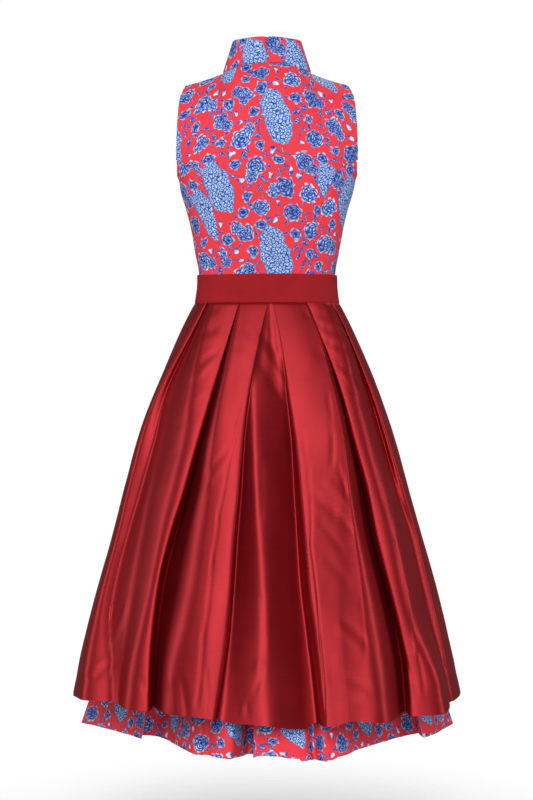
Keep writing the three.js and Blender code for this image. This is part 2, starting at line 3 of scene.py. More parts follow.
import bpy
import numpy as np
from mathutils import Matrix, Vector


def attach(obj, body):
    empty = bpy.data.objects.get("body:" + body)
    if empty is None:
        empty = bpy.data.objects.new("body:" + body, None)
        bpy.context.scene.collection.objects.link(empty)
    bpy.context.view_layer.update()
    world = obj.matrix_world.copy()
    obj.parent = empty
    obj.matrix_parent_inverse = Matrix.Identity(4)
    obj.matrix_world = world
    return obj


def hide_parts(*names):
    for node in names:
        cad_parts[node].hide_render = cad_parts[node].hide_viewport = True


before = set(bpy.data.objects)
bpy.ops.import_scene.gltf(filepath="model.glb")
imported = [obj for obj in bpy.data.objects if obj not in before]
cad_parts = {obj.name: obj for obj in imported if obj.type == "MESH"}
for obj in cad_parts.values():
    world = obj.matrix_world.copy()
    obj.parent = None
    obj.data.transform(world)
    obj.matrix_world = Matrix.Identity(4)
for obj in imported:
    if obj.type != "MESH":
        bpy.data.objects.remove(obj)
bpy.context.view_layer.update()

# Dirndl: printed bodice and collar, plain band, taffeta overskirt, printed underskirt. Shapes are worked out in millimetres.
MM = 0.001


# ------------------------------------------------------------------ tables and curves
def table(names, *rows):
    cols = names.split()
    return {n: np.array([r[i] for r in rows], float) for i, n in enumerate(cols)}


def hermite(xs, ys, x):
    """Monotone cubic through (xs, ys), flat past the ends."""
    xs, ys, x = np.asarray(xs, float), np.asarray(ys, float), np.asarray(x, float)
    if xs[0] > xs[-1]:
        xs, ys = xs[::-1], ys[::-1]
    d = np.diff(ys) / np.diff(xs)
    m = np.zeros_like(xs)
    m[0], m[-1] = d[0], d[-1]
    a, b = d[:-1], d[1:]
    with np.errstate(divide="ignore", invalid="ignore"):
        m[1:-1] = np.where(a * b > 0, 2 * a * b / (a + b), 0)
    i = np.clip(np.searchsorted(xs, x) - 1, 0, len(xs) - 2)
    h = xs[i + 1] - xs[i]
    t = np.clip((x - xs[i]) / h, 0, 1)
    t2, t3 = t * t, t * t * t
    return (2 * t3 - 3 * t2 + 1) * ys[i] + (t3 - 2 * t2 + t) * h * m[i] + (3 * t2 - 2 * t3) * ys[i + 1] + (t3 - t2) * h * m[i + 1]


def read(T, at, key, x):
    return hermite(T[at], T[key], x)


def lerp(a, b, t):
    return a + (b - a) * t


def smooth(t):
    t = np.clip(t, 0, 1)
    return t * t * (3 - 2 * t)


def spow(v, p):
    return np.sign(v) * np.abs(v) ** p


def unit(v):
    return v / np.maximum(np.linalg.norm(v, axis=-1, keepdims=True), 1e-12)


def wrap_angle(a):
    return (a + 180) % 360 - 180


class Waves:
    """Smooth uneven noise: a sum of sine waves in random directions. The seed fixes it."""

    def __init__(self, seed, size, count=18, stretch=(1, 1, 1)):
        rng = np.random.default_rng(seed)
        d = unit(rng.normal(size=(count, 3))) * np.array(stretch)
        self.k = d * (2 * np.pi / (size * rng.uniform(0.7, 1.5, (count, 1))))
        self.p = rng.uniform(0, 2 * np.pi, count)

    def __call__(self, xyz):
        return np.sin(xyz @ self.k.T + self.p).sum(-1) / math.sqrt(len(self.p))


# ------------------------------------------------------------------ camera, floor and light
CAM_AWAY, CAM_X, CAM_Z, AIM_Z, VIEW_TALL = 3.540, -0.0010, -0.5255, -0.590, 1.4752
cam = bpy.data.objects.new("camera", bpy.data.cameras.new("camera"))
bpy.context.scene.collection.objects.link(cam)
cam.location = (CAM_X, -CAM_AWAY, CAM_Z)
cam.rotation_euler = (Vector((CAM_X, 0, AIM_Z)) - cam.location).to_track_quat("-Z", "Y").to_euler()
cam.data.sensor_width = 36
cam.data.angle = 2 * math.atan(VIEW_TALL / 2 / CAM_AWAY)
cam.data.clip_end = 60
bpy.context.scene.camera = cam
bpy.context.scene.view_settings.view_transform = "Standard"


def lamp(name, place, aim, wide, tall, watts, colour=(1, 1, 1)):
    data = bpy.data.lights.new(name, "AREA")
    data.shape, data.size, data.size_y, data.energy, data.color = "RECTANGLE", wide, tall, watts, colour
    ob = bpy.data.objects.new(name, data)
    ob.location = place
    ob.rotation_euler = (Vector(aim) - Vector(place)).to_track_quat("-Z", "Y").to_euler()
    bpy.context.scene.collection.objects.link(ob)
    ob.visible_camera = False
    return ob


lamp("key", (-0.45, -3.4, 1.75), (0, 0, -0.70), 2.0, 3.8, 117)
lamp("low", (0.3, -3.8, 0.05), (0, 0, -0.85), 2.2, 1.2, 22)
lamp("foot", (0.2, -3.7, -1.1), (0, 0, -1.15), 2.4, 0.5, 34)
lamp("side_left", (-2.6, -0.25, -0.2), (0, 0, -0.8), 1.1, 2.0, 24)
lamp("side_right", (2.6, -0.25, -0.2), (0, 0, -0.8), 1.1, 2.0, 24)
lamp("rear", (0.6, 3.1, 2.4), (0, 0, -0.6), 2.0, 2.0, 55)

# A white room: soft and dim as light, white as the backdrop.
world = bpy.data.worlds.new("studio")
bpy.context.scene.world = world
world.use_nodes = True
wt = world.node_tree
wt.nodes.clear()
soft, plain = wt.nodes.new("ShaderNodeBackground"), wt.nodes.new("ShaderNodeBackground")
soft.inputs["Strength"].default_value, plain.inputs["Strength"].default_value = 0.16, 1.0
soft.inputs["Color"].default_value = plain.inputs["Color"].default_value = (1, 1, 1, 1)
pick, rays, world_out = wt.nodes.new("ShaderNodeMixShader"), wt.nodes.new("ShaderNodeLightPath"), wt.nodes.new("ShaderNodeOutputWorld")
wt.links.new(rays.outputs["Is Camera Ray"], pick.inputs[0])
wt.links.new(soft.outputs[0], pick.inputs[1])
wt.links.new(plain.outputs[0], pick.inputs[2])
wt.links.new(pick.outputs[0], world_out.inputs[0])


# ------------------------------------------------------------------ material nodes
class Nodes:
    """Short calls for shader nodes. An input is a socket or a constant."""

    def __init__(self, material):
        material.use_nodes = True
        self.tree = material.node_tree
        self.tree.nodes.clear()

    def put(self, socket, value):
        if isinstance(value, bpy.types.NodeSocket):
            self.tree.links.new(value, socket)
        elif value is not None:
            socket.default_value = value

    def new(self, kind, **attrs):
        n = self.tree.nodes.new(kind)
        for k, v in attrs.items():
            setattr(n, k, v)
        return n

    def math(self, op, a, b=None, c=None, clamp=False):
        n = self.new("ShaderNodeMath", operation=op, use_clamp=clamp)
        for s, v in zip(n.inputs, (a, b, c)):
            self.put(s, v)
        return n.outputs[0]

    def vec(self, op, a, b=None, c=None, scale=None):
        n = self.new("ShaderNodeVectorMath", operation=op)
        for s, v in zip(n.inputs, (a, b, c)):
            self.put(s, v)
        if scale is not None:
            self.put(n.inputs["Scale"], scale)
        return n.outputs["Value"] if op in ("LENGTH", "DOT_PRODUCT", "DISTANCE") else n.outputs["Vector"]

    def mix(self, f, a, b, kind="RGBA"):
        n = self.new("ShaderNodeMix", data_type=kind)
        i = {"FLOAT": 2, "VECTOR": 4, "RGBA": 6}[kind]
        self.put(n.inputs[0], f)
        self.put(n.inputs[i], a)
        self.put(n.inputs[i + 1], b)
        return n.outputs[{"FLOAT": 0, "VECTOR": 1, "RGBA": 2}[kind]]

    def turn(self, v, angle):
        n = self.new("ShaderNodeVectorRotate", rotation_type="Z_AXIS")
        self.put(n.inputs["Vector"], v)
        self.put(n.inputs["Angle"], angle)
        return n.outputs[0]

    def split(self, v):
        n = self.new("ShaderNodeSeparateXYZ")
        self.put(n.inputs[0], v)
        return n.outputs[0], n.outputs[1]

    def join(self, x, y, z=0.0):
        n = self.new("ShaderNodeCombineXYZ")
        for s, v in zip(n.inputs, (x, y, z)):
            self.put(s, v)
        return n.outputs[0]

    def noise(self, v, scale, detail=2.0, rough=0.5, dims="3D"):
        n = self.new("ShaderNodeTexNoise", noise_dimensions=dims)
        self.put(n.inputs["Vector"], v)
        for k, x in (("Scale", scale), ("Detail", detail), ("Roughness", rough)):
            n.inputs[k].default_value = x
        return n

    def ramp(self, f, stops, mode="LINEAR"):
        n = self.new("ShaderNodeValToRGB")
        self.put(n.inputs[0], f)
        r = n.color_ramp
        r.interpolation = mode
        while len(r.elements) < len(stops):
            r.elements.new(0.5)
        for e, (at, col) in zip(r.elements, stops):
            e.position, e.color = at, (*col, 1)
        return n.outputs[0]

    def step(self, x, low, high):
        """0 below low, 1 above high."""
        n = self.new("ShaderNodeMapRange", interpolation_type="SMOOTHSTEP")
        self.put(n.inputs["Value"], x)
        n.inputs["From Min"].default_value, n.inputs["From Max"].default_value = low, high
        return n.outputs[0]

    def cloth_map(self):
        n = self.new("ShaderNodeUVMap", uv_map="cloth")
        return self.vec("SCALE", n.outputs[0], scale=1000.0)

    def surface(self, base, bump=None, bump_mm=0.3, strength=0.3, **fixed):
        p = self.new("ShaderNodeBsdfPrincipled")
        self.put(p.inputs["Base Color"], base)
        for k, v in fixed.items():
            self.put(p.inputs[k.replace("_", " ")], v)
        if bump is not None:
            b = self.new("ShaderNodeBump")
            b.inputs["Strength"].default_value = strength
            b.inputs["Distance"].default_value = bump_mm * MM
            self.put(b.inputs["Height"], bump)
            self.tree.links.new(b.outputs[0], p.inputs["Normal"])
        out = self.new("ShaderNodeOutputMaterial")
        self.tree.links.new(p.outputs[0], out.inputs[0])
        return p


def linear(r, g, b):
    f = lambda c: c / 12.92 if c <= 0.04045 else ((c + 0.055) / 1.055) ** 2.4
    return tuple(f(c / 255) for c in (r, g, b))


# ------------------------------------------------------------------ the print: a repeat laid out on a torus, drawn by nodes
TILE = (214.0, 250.0)
CORAL = linear(228, 56, 64)
INK = linear(26, 44, 138)
DEEP = linear(40, 66, 164)
BLUE = linear(64, 104, 194)
SKY = linear(122, 168, 220)
PALE = linear(186, 212, 236)
WHITE = linear(226, 236, 244)
TWIG = linear(88, 74, 146)
PLUMES = table("x y turn", (54, 66, -16), (161, 191, -22))


def tile_gap(a, b):
    d = np.abs(np.asarray(a, float) - np.asarray(b, float))
    d = np.minimum(d, np.array(TILE) - d)
    return float(np.hypot(*d))


def lay_out():
    """Where the blossoms, small flowers, buds, leaves and twigs of the repeat lie: (x, y, radius, turn). Each goes where there is most room."""
    rng = np.random.default_rng(LAYOUT_SEED)
    taken = []
    for x, y, turn in zip(*[PLUMES[k] for k in ("x", "y", "turn")]):
        c, s = math.cos(math.radians(turn)), math.sin(math.radians(turn))
        for side, along, room in ((0, -27, 28), (0, -8, 27), (2, 10, 20), (8, 26, 14), (18, 40, 10)):
            taken.append(((x + c * side + s * along) % TILE[0], (y - s * side + c * along) % TILE[1], room))
    out = {"rose": [], "star": [], "bud": [], "leaf": []}
    kinds = (("rose", 11, 15.5, 19.5, -1.0), ("star", 13, 8.5, 12.0, -0.5), ("bud", 13, 5.0, 6.6, 0.0), ("leaf", 22, 6.5, 9.5, -3.0))
    for kind, count, low, high, room in kinds:
        for _ in range(count):
            r, best = rng.uniform(low, high), None
            for _ in range(260):
                x, y = rng.uniform(0, TILE[0]), rng.uniform(0, TILE[1])
                free = min(tile_gap((x, y), t[:2]) - t[2] - r for t in taken)
                if free > room and (best is None or free > best[0]):
                    best = (free, x, y)
            if best:
                taken.append((best[1], best[2], r * (0.6 if kind == "leaf" else 1)))
                out[kind].append((best[1], best[2], r, rng.uniform(0, 6.28)))
        if kind == "rose":  # some blossoms have a smaller one grown into them
            for x, y, r, turn in list(out["rose"])[:7]:
                small, to = rng.uniform(0.6, 0.75) * r, rng.uniform(0, 6.28)
                x2, y2 = (x + math.cos(to) * r * 1.1) % TILE[0], (y + math.sin(to) * r * 1.1) % TILE[1]
                if min(tile_gap((x2, y2), t[:2]) - t[2] - small for t in taken if tile_gap((x, y), t[:2]) > 1) > -6:
                    taken.append((x2, y2, small))
                    out["rose"].append((x2, y2, small, to))
    heads = [h[:3] for k in ("rose", "star", "bud", "leaf") for h in out[k]]
    twigs, done = [], set()
    for i, a in reversed(list(enumerate(heads))):
        order = sorted((j for j in range(len(heads)) if j != i), key=lambda j: tile_gap(a[:2], heads[j][:2]))
        for j in order[:5]:
            if (min(i, j), max(i, j)) in done or len(twigs) >= 34:
                continue
            b = np.array(heads[j][:2]) - np.array(a[:2])
            b -= np.round(b / np.array(TILE)) * np.array(TILE)
            if not 22 < np.hypot(*b) < 58:
                continue
            done.add((min(i, j), max(i, j)))
            twigs.append((a[0], a[1], b[0], b[1], rng.uniform(-0.25, 0.25)))
            break
    out["twig"] = twigs
    return out


LAYOUT_SEED = 4
LAYOUT = lay_out()
print("LAYOUT", {k: len(v) for k, v in LAYOUT.items()})


def nearest(n, p, spots):
    """The local coordinates, turned and scaled by its radius, of the spot that p is nearest to, and the distance there."""
    best_v, best_d = (9.0, 9.0, 0.0), 9.0
    w, h = TILE
    for x, y, r, turn in spots:
        v = n.vec("SUBTRACT", p, (x, y, 0))
        v = n.vec("WRAP", v, (w / 2, h / 2, 1.0), (-w / 2, -h / 2, -1.0))
        v = n.vec("SCALE", n.turn(v, turn), scale=1.0 / r)
        d = n.vec("LENGTH", v)
        closer = n.math("LESS_THAN", d, best_d)
        best_v = n.mix(closer, best_v, v, "VECTOR")
        best_d = n.math("MINIMUM", d, best_d)
    return best_v, best_d


def leaf_mask(n, v, where, long, wide):
    """How far inside a leaf v is, above 0, and its tone from the rib to the edge. The leaf points out from the middle at angle `where`."""
    a, b = n.split(n.turn(v, -where))
    a = n.math("DIVIDE", n.math("SUBTRACT", a, 1.06 + long), long)
    b = n.math("DIVIDE", n.math("ABSOLUTE", b), wide)
    inside = n.math("SUBTRACT", n.math("SUBTRACT", 1.0, n.math("MULTIPLY", a, a)), b)
    return inside, n.math("ADD", b, n.math("MULTIPLY", a, 0.15))


def blossom(n, v, d, fine, rings, heart):
    """Rings of lobed petals, pale at their rims and dark where the next ring lies on them. Gives the outline and the tint."""
    a, b = n.split(v)
    ang = n.math("ARCTAN2", b, a)
    rough = n.math("MULTIPLY_ADD", fine, 0.30, -0.15)
    tint, outline = None, None
    for radius, lobes, offset, reach in rings:
        lobe = n.math("ABSOLUTE", n.math("COSINE", n.math("MULTIPLY_ADD", ang, lobes / 2, offset)))
        edge = n.math("MULTIPLY_ADD", n.math("POWER", lobe, 0.6), 0.26 * radius, 0.80 * radius)
        rim = n.math("SUBTRACT", edge, n.math("ADD", d, n.math("MULTIPLY", rough, 0.35)))
        tone = n.math("DIVIDE", n.math("ADD", rim, n.math("MULTIPLY", rough, 0.20)), reach)
        cleft = n.math("SUBTRACT", 1.0, n.math("POWER", lobe, 0.35))
        tone = n.math("ADD", tone, n.math("MULTIPLY", cleft, 0.9))
        col = n.ramp(tone, [(0.0, SKY), (0.10, WHITE), (0.24, PALE), (0.36, SKY), (0.50, BLUE), (0.66, DEEP), (0.85, INK)])
        if tint is None:
            tint, outline = col, rim
        else:
            tint = n.mix(n.step(rim, 0.0, 0.03), tint, col)
    if heart:
        tint = n.mix(n.step(d, heart, heart * 1.5), (*INK, 1), tint)
    return outline, tint


def print_colour(n):
    """The printed cloth's colour: ground, twigs, leaves, buds, small flowers, medallions and blossoms."""
    p0 = n.cloth_map()
    wob = n.noise(p0, 0.13, 2.0)
    sway = n.noise(p0, 0.05, 1.0)
    shift = n.vec("SCALE", n.vec("SUBTRACT", wob.outputs["Color"], (0.5, 0.5, 0.5)), scale=7.0)
    shift = n.vec("ADD", shift, n.vec("SCALE", n.vec("SUBTRACT", sway.outputs["Color"], (0.5, 0.5, 0.5)), scale=16.0))
    p = n.vec("MULTIPLY", n.vec("ADD", p0, shift), (1, 1, 0))
    fine = n.noise(p0, 0.55, 2.0).outputs[0]
    w, h = TILE
    colour = n.ramp(n.noise(p0, 0.012, 1.0).outputs[0], [(0.3, CORAL), (0.7, linear(238, 56, 72))])
    # twigs
    best = 9.0
    for x, y, bx, by, bend in LAYOUT["twig"]:
        v = n.vec("SUBTRACT", p, (x + bx / 2, y + by / 2, 0))
        v = n.vec("WRAP", v, (w / 2, h / 2, 1.0), (-w / 2, -h / 2, -1.0))
        length = math.hypot(bx, by)
        a, b = n.split(n.turn(v, -math.atan2(by, bx)))
        t = n.math("MULTIPLY", a, 2 / length)
        bow = n.math("MULTIPLY_ADD", n.math("MULTIPLY", t, t), bend * length / 2, b)
        d = n.math("ABSOLUTE", n.math("SUBTRACT", bow, bend * length / 4))
        d = n.math("MULTIPLY_ADD", n.math("GREATER_THAN", n.math("ABSOLUTE", t), 1.0), 9.0, d)
        best = n.math("MINIMUM", best, d)
    colour = n.mix(n.step(best, 1.15, 0.75), colour, (*TWIG, 1))
    # leaves of the blossoms and small flowers
    rose_v, rose_d = nearest(n, p, LAYOUT["rose"])
    star_v, star_d = nearest(n, p, LAYOUT["star"])
    for v, spots in ((rose_v, ((0.3, 0.30, 0.17), (2.7, 0.26, 0.15), (4.3, 0.32, 0.18), (5.2, 0.20, 0.12))), (star_v, ((0.9, 0.42, 0.24), (3.6, 0.36, 0.22)))):
        for where, long, wide in spots:
            inside, tone = leaf_mask(n, v, where, long, wide)
            tint = n.ramp(n.math("MULTIPLY_ADD", fine, 0.2, tone), [(0.08, PALE), (0.16, INK), (0.5, DEEP), (0.75, BLUE), (1.0, SKY)])
            colour = n.mix(n.step(inside, 0.0, 0.12), colour, tint)
    v, d = nearest(n, p, LAYOUT["leaf"])
    a, b = n.split(v)
    leaf = n.math("SUBTRACT", n.math("SUBTRACT", 1.0, n.math("MULTIPLY", a, a)), n.math("MULTIPLY", n.math("ABSOLUTE", n.math("MULTIPLY_ADD", n.math("MULTIPLY", a, a), 0.25, b)), 2.3))
    tone = n.math("MULTIPLY_ADD", n.math("SINE", n.math("MULTIPLY_ADD", a, 13.0, n.math("MULTIPLY", n.math("ABSOLUTE", b), 14.0))), 0.2, n.math("ABSOLUTE", b))
    tint = n.ramp(n.math("MULTIPLY_ADD", fine, 0.3, tone), [(0.02, PALE), (0.1, SKY), (0.22, BLUE), (0.34, DEEP), (0.5, INK)])
    colour = n.mix(n.step(leaf, 0.0, 0.15), colour, tint)
    # buds: a pale drop in a dark cup
    v, d = nearest(n, p, LAYOUT["bud"])
    a, b = n.split(v)
    bud = n.math("SUBTRACT", n.math("MULTIPLY_ADD", a, 0.25, 0.92), n.vec("LENGTH", n.join(n.math("MULTIPLY", a, 0.9), n.math("MULTIPLY", b, n.math("MULTIPLY_ADD", a, 0.35, 1.2)))))
    stripe = n.math("MULTIPLY_ADD", n.math("SINE", n.math("MULTIPLY", b, 14.0)), 0.14, a)
    tint = n.ramp(n.math("MULTIPLY_ADD", stripe, 0.5, 0.5), [(0.0, INK), (0.34, DEEP), (0.48, SKY), (0.62, PALE), (0.9, WHITE)])
    colour = n.mix(n.step(bud, 0.0, 0.12), colour, tint)
    # small flowers
    outline, tint = blossom(n, star_v, star_d, fine, ((0.94, 5, 0.0, 0.85), (0.46, 5, 1.57, 0.4)), 0.14)
    tint = n.mix(0.35, tint, (*INK, 1))
    colour = n.mix(n.step(outline, 0.0, 0.05), colour, tint)
    # medallions: upright ovals filled with scales that hold a ring each
    best_v, best_d = (999.0, 999.0, 0.0), 999.0
    for x, y, turn in zip(*[PLUMES[k] for k in ("x", "y", "turn")]):
        v = n.vec("SUBTRACT", p, (x, y, 0))
        v = n.turn(n.vec("WRAP", v, (w / 2, h / 2, 1.0), (-w / 2, -h / 2, -1.0)), math.radians(turn))
        d = n.vec("LENGTH", v)
        closer = n.math("LESS_THAN", d, best_d)
        best_v = n.mix(closer, best_v, v, "VECTOR")
        best_d = n.math("MINIMUM", d, best_d)
    a, b = n.split(best_v)
    s = n.math("DIVIDE", n.math("SUBTRACT", 56.0, b), 110.0)  # 0 at the tip, 1 at the round end
    s = n.math("MAXIMUM", n.math("MINIMUM", s, 1.0), 0.0)
    left = n.math("SUBTRACT", 1.0, s)
    half = n.math("POWER", n.math("MULTIPLY", n.math("MULTIPLY", s, left), 4.0), 0.5)  # an even oval
    half = n.math("MULTIPLY_ADD", n.math("ABSOLUTE", n.math("SINE", n.math("MULTIPLY", b, 0.45))), 1.8, n.math("MULTIPLY", half, 27.0))
    rim = n.math("SUBTRACT", n.math("SUBTRACT", half, 1.6), n.math("ABSOLUTE", a))
    gx, gy = n.math("MULTIPLY", a, 0.135), n.math("MULTIPLY", b, 0.165)
    row = n.math("FLOOR", gy)
    fx = n.math("SUBTRACT", n.math("FRACT", n.math("MULTIPLY_ADD", n.math("MODULO", n.math("ABSOLUTE", row), 2.0), 0.5, gx)), 0.5)
    fy = n.math("SUBTRACT", n.math("FRACT", gy), 0.5)
    ring = n.vec("LENGTH", n.join(fx, n.math("MULTIPLY", fy, 0.82)))
    tone = n.math("ADD", ring, n.math("MULTIPLY", n.math("SUBTRACT", fine, 0.5), 0.30))
    tint = n.ramp(tone, [(0.06, INK), (0.13, DEEP), (0.19, WHITE), (0.27, PALE), (0.34, SKY), (0.42, BLUE), (0.50, DEEP), (0.58, INK)])
    tint = n.mix(n.step(rim, 3.2, 2.4), tint, (*SKY, 1))
    tint = n.mix(n.step(rim, 1.4, 0.8), tint, (*DEEP, 1))
    colour = n.mix(n.step(rim, 0.0, 0.4), colour, tint)
    # blossoms
    outline, tint = blossom(n, rose_v, rose_d, fine, ((0.96, 9, 0.3, 0.42), (0.70, 7, 1.4, 0.34), (0.46, 6, 0.5, 0.30), (0.24, 4, 1.0, 0.22)), 0.05)
    paler = n.noise(p0, 0.02, 1.0).outputs[0]
    tint = n.mix(n.math("MULTIPLY", n.step(paler, 0.42, 0.58), 0.42), tint, (*INK, 1))
    colour = n.mix(n.step(outline, 0.0, 0.03), colour, tint)
    return p0, colour


def weave_height(n, p0, across, along, pitch):
    a, b = n.split(p0)
    s = n.math("SINE", n.math("MULTIPLY", a, 2 * math.pi / pitch * across))
    t = n.math("SINE", n.math("MULTIPLY", b, 2 * math.pi / pitch * along))
    return n.math("MULTIPLY", n.math("ADD", s, t), 0.5)


def make_print(name, faded):
    m = bpy.data.materials.new(name)
    n = Nodes(m)
    p0, colour = print_colour(n)
    if faded:  # the reverse, where the ink has only half come through
        colour = n.mix(0.5, colour, (*linear(232, 150, 148), 1))
    cloth = n.noise(p0, 2.6, 3.0, 0.6).outputs[0]
    colour = n.vec("SCALE", colour, scale=n.math("MULTIPLY_ADD", cloth, 0.22, 0.87))
    h = n.math("ADD", weave_height(n, p0, 1, 1, 0.55), n.math("MULTIPLY", cloth, 1.2))
    n.surface(colour, h, 0.10, 0.35, Roughness=0.66, Specular_IOR_Level=0.22)
    return m


def make_taffeta(name):
    m = bpy.data.materials.new(name)
    n = Nodes(m)
    p0 = n.cloth_map()
    a, b = n.split(p0)
    weft = n.noise(n.join(n.math("MULTIPLY", a, 0.02), n.math("MULTIPLY", b, 1.6)), 1.0, 3.0, 0.6).outputs[0]
    slub = n.noise(n.join(n.math("MULTIPLY", a, 0.05), n.math("MULTIPLY", b, 0.55)), 1.0, 2.0, 0.5).outputs[0]
    cloud = n.noise(p0, 0.012, 3.0, 0.55).outputs[0]
    tone = n.math("ADD", n.math("MULTIPLY", weft, 0.5), n.math("ADD", n.math("MULTIPLY", cloud, 0.3), n.math("MULTIPLY", slub, 0.2)))
    colour = n.ramp(tone, [(0.3, linear(128, 15, 22)), (0.5, linear(142, 20, 28)), (0.7, linear(154, 26, 34))])
    h = n.math("ADD", n.math("MULTIPLY", weft, 0.8), n.math("MULTIPLY", slub, 0.9))
    rough = n.math("MULTIPLY_ADD", weft, 0.08, 0.39)
    n.surface(colour, h, 0.16, 0.28, Roughness=rough, Metallic=0.64, Specular_IOR_Level=0.9, Specular_Tint=(1.0, 0.40, 0.42, 1.0))
    return m


def make_band(name):
    m = bpy.data.materials.new(name)
    n = Nodes(m)
    p0 = n.cloth_map()
    a, b = n.split(p0)
    thread = n.noise(n.join(n.math("MULTIPLY", a, 0.9), n.math("MULTIPLY", b, 3.0)), 1.0, 2.0, 0.6).outputs[0]
    nap = n.noise(p0, 0.03, 3.0, 0.6).outputs[0]
    colour = n.ramp(n.math("ADD", n.math("MULTIPLY", thread, 0.6), n.math("MULTIPLY", nap, 0.4)), [(0.3, linear(140, 14, 22)), (0.5, linear(152, 18, 26)), (0.7, linear(160, 24, 31))])
    h = n.math("ADD", weave_height(n, p0, 1, 1.6, 0.7), n.math("MULTIPLY", thread, 1.2))
    n.surface(colour, h, 0.16, 0.5, Roughness=0.8, Specular_IOR_Level=0.2)
    return m


PRINT = make_print("print_cloth", False)
PRINT_BACK = make_print("print_cloth_reverse", True)
TAFFETA = make_taffeta("taffeta")
BAND_CLOTH = make_band("band_cloth")


# ------------------------------------------------------------------ meshes
def shell(name, outer, inner, uv, face, back, loop=False, sharp=70, node=None):
    """A closed wall between two grids of points (rows, columns, 3) in millimetres. uv is (rows, columns or one more, 2) in metres."""
    rows, cols = outer.shape[:2]
    n = rows * cols
    co = np.concatenate([outer.reshape(-1, 3), inner.reshape(-1, 3)]) * MM
    i, j = np.meshgrid(np.arange(rows - 1), np.arange(cols if loop else cols - 1), indexing="ij")
    i, j = i.ravel(), j.ravel()
    k = (j + 1) % cols
    quads = [np.stack([i * cols + j, i * cols + k, (i + 1) * cols + k, (i + 1) * cols + j], 1)]
    flat = [np.stack([i * (uv.shape[1]) + j, i * (uv.shape[1]) + j + 1, (i + 1) * (uv.shape[1]) + j + 1, (i + 1) * (uv.shape[1]) + j], 1)]
    quads.append(n + quads[0][:, ::-1])
    flat.append(flat[0][:, ::-1])
    mats = [np.zeros(len(i), int), np.ones(len(i), int)]
    jj = np.arange(cols if loop else cols - 1)
    kk = (jj + 1) % cols
    u = uv.shape[1]
    for r, flip in ((0, False), (rows - 1, True)):
        q = np.stack([r * cols + jj, n + r * cols + jj, n + r * cols + kk, r * cols + kk], 1)
        f = np.stack([r * u + jj, r * u + jj, r * u + jj + 1, r * u + jj + 1], 1)
        quads.append(q[:, ::-1] if flip else q)
        flat.append(f[:, ::-1] if flip else f)
        mats.append(np.zeros(len(jj), int))
    if not loop:
        ii = np.arange(rows - 1)
        for c, flip in ((0, True), (cols - 1, False)):
            q = np.stack([ii * cols + c, n + ii * cols + c, n + (ii + 1) * cols + c, (ii + 1) * cols + c], 1)
            f = np.stack([ii * u + c, ii * u + c, (ii + 1) * u + c, (ii + 1) * u + c], 1)
            quads.append(q[:, ::-1] if flip else q)
            flat.append(f[:, ::-1] if flip else f)
            mats.append(np.zeros(len(ii), int))
    quads, flat, mats = np.concatenate(quads), np.concatenate(flat), np.concatenate(mats)
    a, b, c, d = (co[quads[:, s]] for s in range(4))
    volume = (np.einsum("ij,ij->i", a, np.cross(b, c)) + np.einsum("ij,ij->i", a, np.cross(c, d))).sum()
    if volume < 0:
        quads, flat = quads[:, ::-1], flat[:, ::-1]
    me = bpy.data.meshes.new(name)
    me.vertices.add(len(co))
    me.vertices.foreach_set("co", co.astype(np.float32).ravel())
    me.loops.add(quads.size)
    me.loops.foreach_set("vertex_index", quads.astype(np.int32).ravel())
    me.polygons.add(len(quads))
    me.polygons.foreach_set("loop_start", np.arange(0, quads.size, 4, dtype=np.int32))
    me.polygons.foreach_set("material_index", mats.astype(np.int32))
    me.polygons.foreach_set("use_smooth", np.ones(len(quads), bool))
    me.materials.append(face)
    me.materials.append(back)
    layer = me.uv_layers.new(name="cloth")
    layer.uv.foreach_set("vector", uv.reshape(-1, 2)[flat.ravel()].astype(np.float32).ravel())
    me.update(calc_edges=True)
    me.validate()
    me.set_sharp_from_angle(angle=math.radians(sharp))
    ob = bpy.data.objects.new(name, me)
    bpy.context.scene.collection.objects.link(ob)
    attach(ob, "root")
    if node:
        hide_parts(node)
    return ob


def normals(g, loop=False):
    du = np.roll(g, -1, 1) - np.roll(g, 1, 1)
    if not loop:
        du[:, 0], du[:, -1] = g[:, 1] - g[:, 0], g[:, -1] - g[:, -2]
    dv = np.empty_like(g)
    dv[1:-1], dv[0], dv[-1] = g[2:] - g[:-2], g[1] - g[0], g[-1] - g[-2]
    return unit(np.cross(du, dv))


def run_of(g, axis):
    """Length of cloth from the start of the grid, along rows (axis 0) or columns (axis 1)."""
    d = np.linalg.norm(np.diff(g, axis=axis), axis=-1)
    z = np.zeros_like(g[..., 0])
    if axis == 0:
        z[1:] = np.cumsum(d, 0)
    else:
        z[:, 1:] = np.cumsum(d, 1)
    return z


def flat_map(g, column, start, offset):
    """Cloth coordinates in metres: across from one column, up along it."""
    across = run_of(g, 1)
    across = across - across[:, column : column + 1]
    up = run_of(g, 0)[:, column : column + 1]
    return np.stack([across + start + offset[0], np.broadcast_to(up, across.shape) + offset[1]], -1) * MM


# ------------------------------------------------------------------ bodice
SQUARE, UNDERARM_Z, WAIST_Z, BAND_TOP, BAND_BOTTOM = 2.2, -186, -386, -360, -413
TORSO = table(
    "z half back front",
    (-386, 124.5, 86, 97), (-360, 126.0, 87, 98), (-343, 128.2, 89, 100), (-320, 132.8, 92, 103), (-298, 136.6, 95, 106),
    (-276, 140.5, 98, 108), (-254, 145.7, 101, 110), (-232, 151.5, 103, 111), (-210, 158.4, 105, 111), (-186, 163.5, 106, 110),
)
UPPER_BACK = table(
    "w cy cz ex ey ez turn",
    (0.0, -106, -186, 163.5, 0, -186, 90), (0.16, -106.5, -152, 166.5, -24, -177, 78), (0.32, -106, -118, 166.5, -41, -149, 66),
    (0.52, -102, -76, 165.0, -47, -105, 58), (0.7, -93, -40, 163.0, -42, -70, 56), (0.86, -78, -8, 159.5, -24, -36, 55), (1.0, -58, 19.5, 151.0, 3, -11, 55),
)
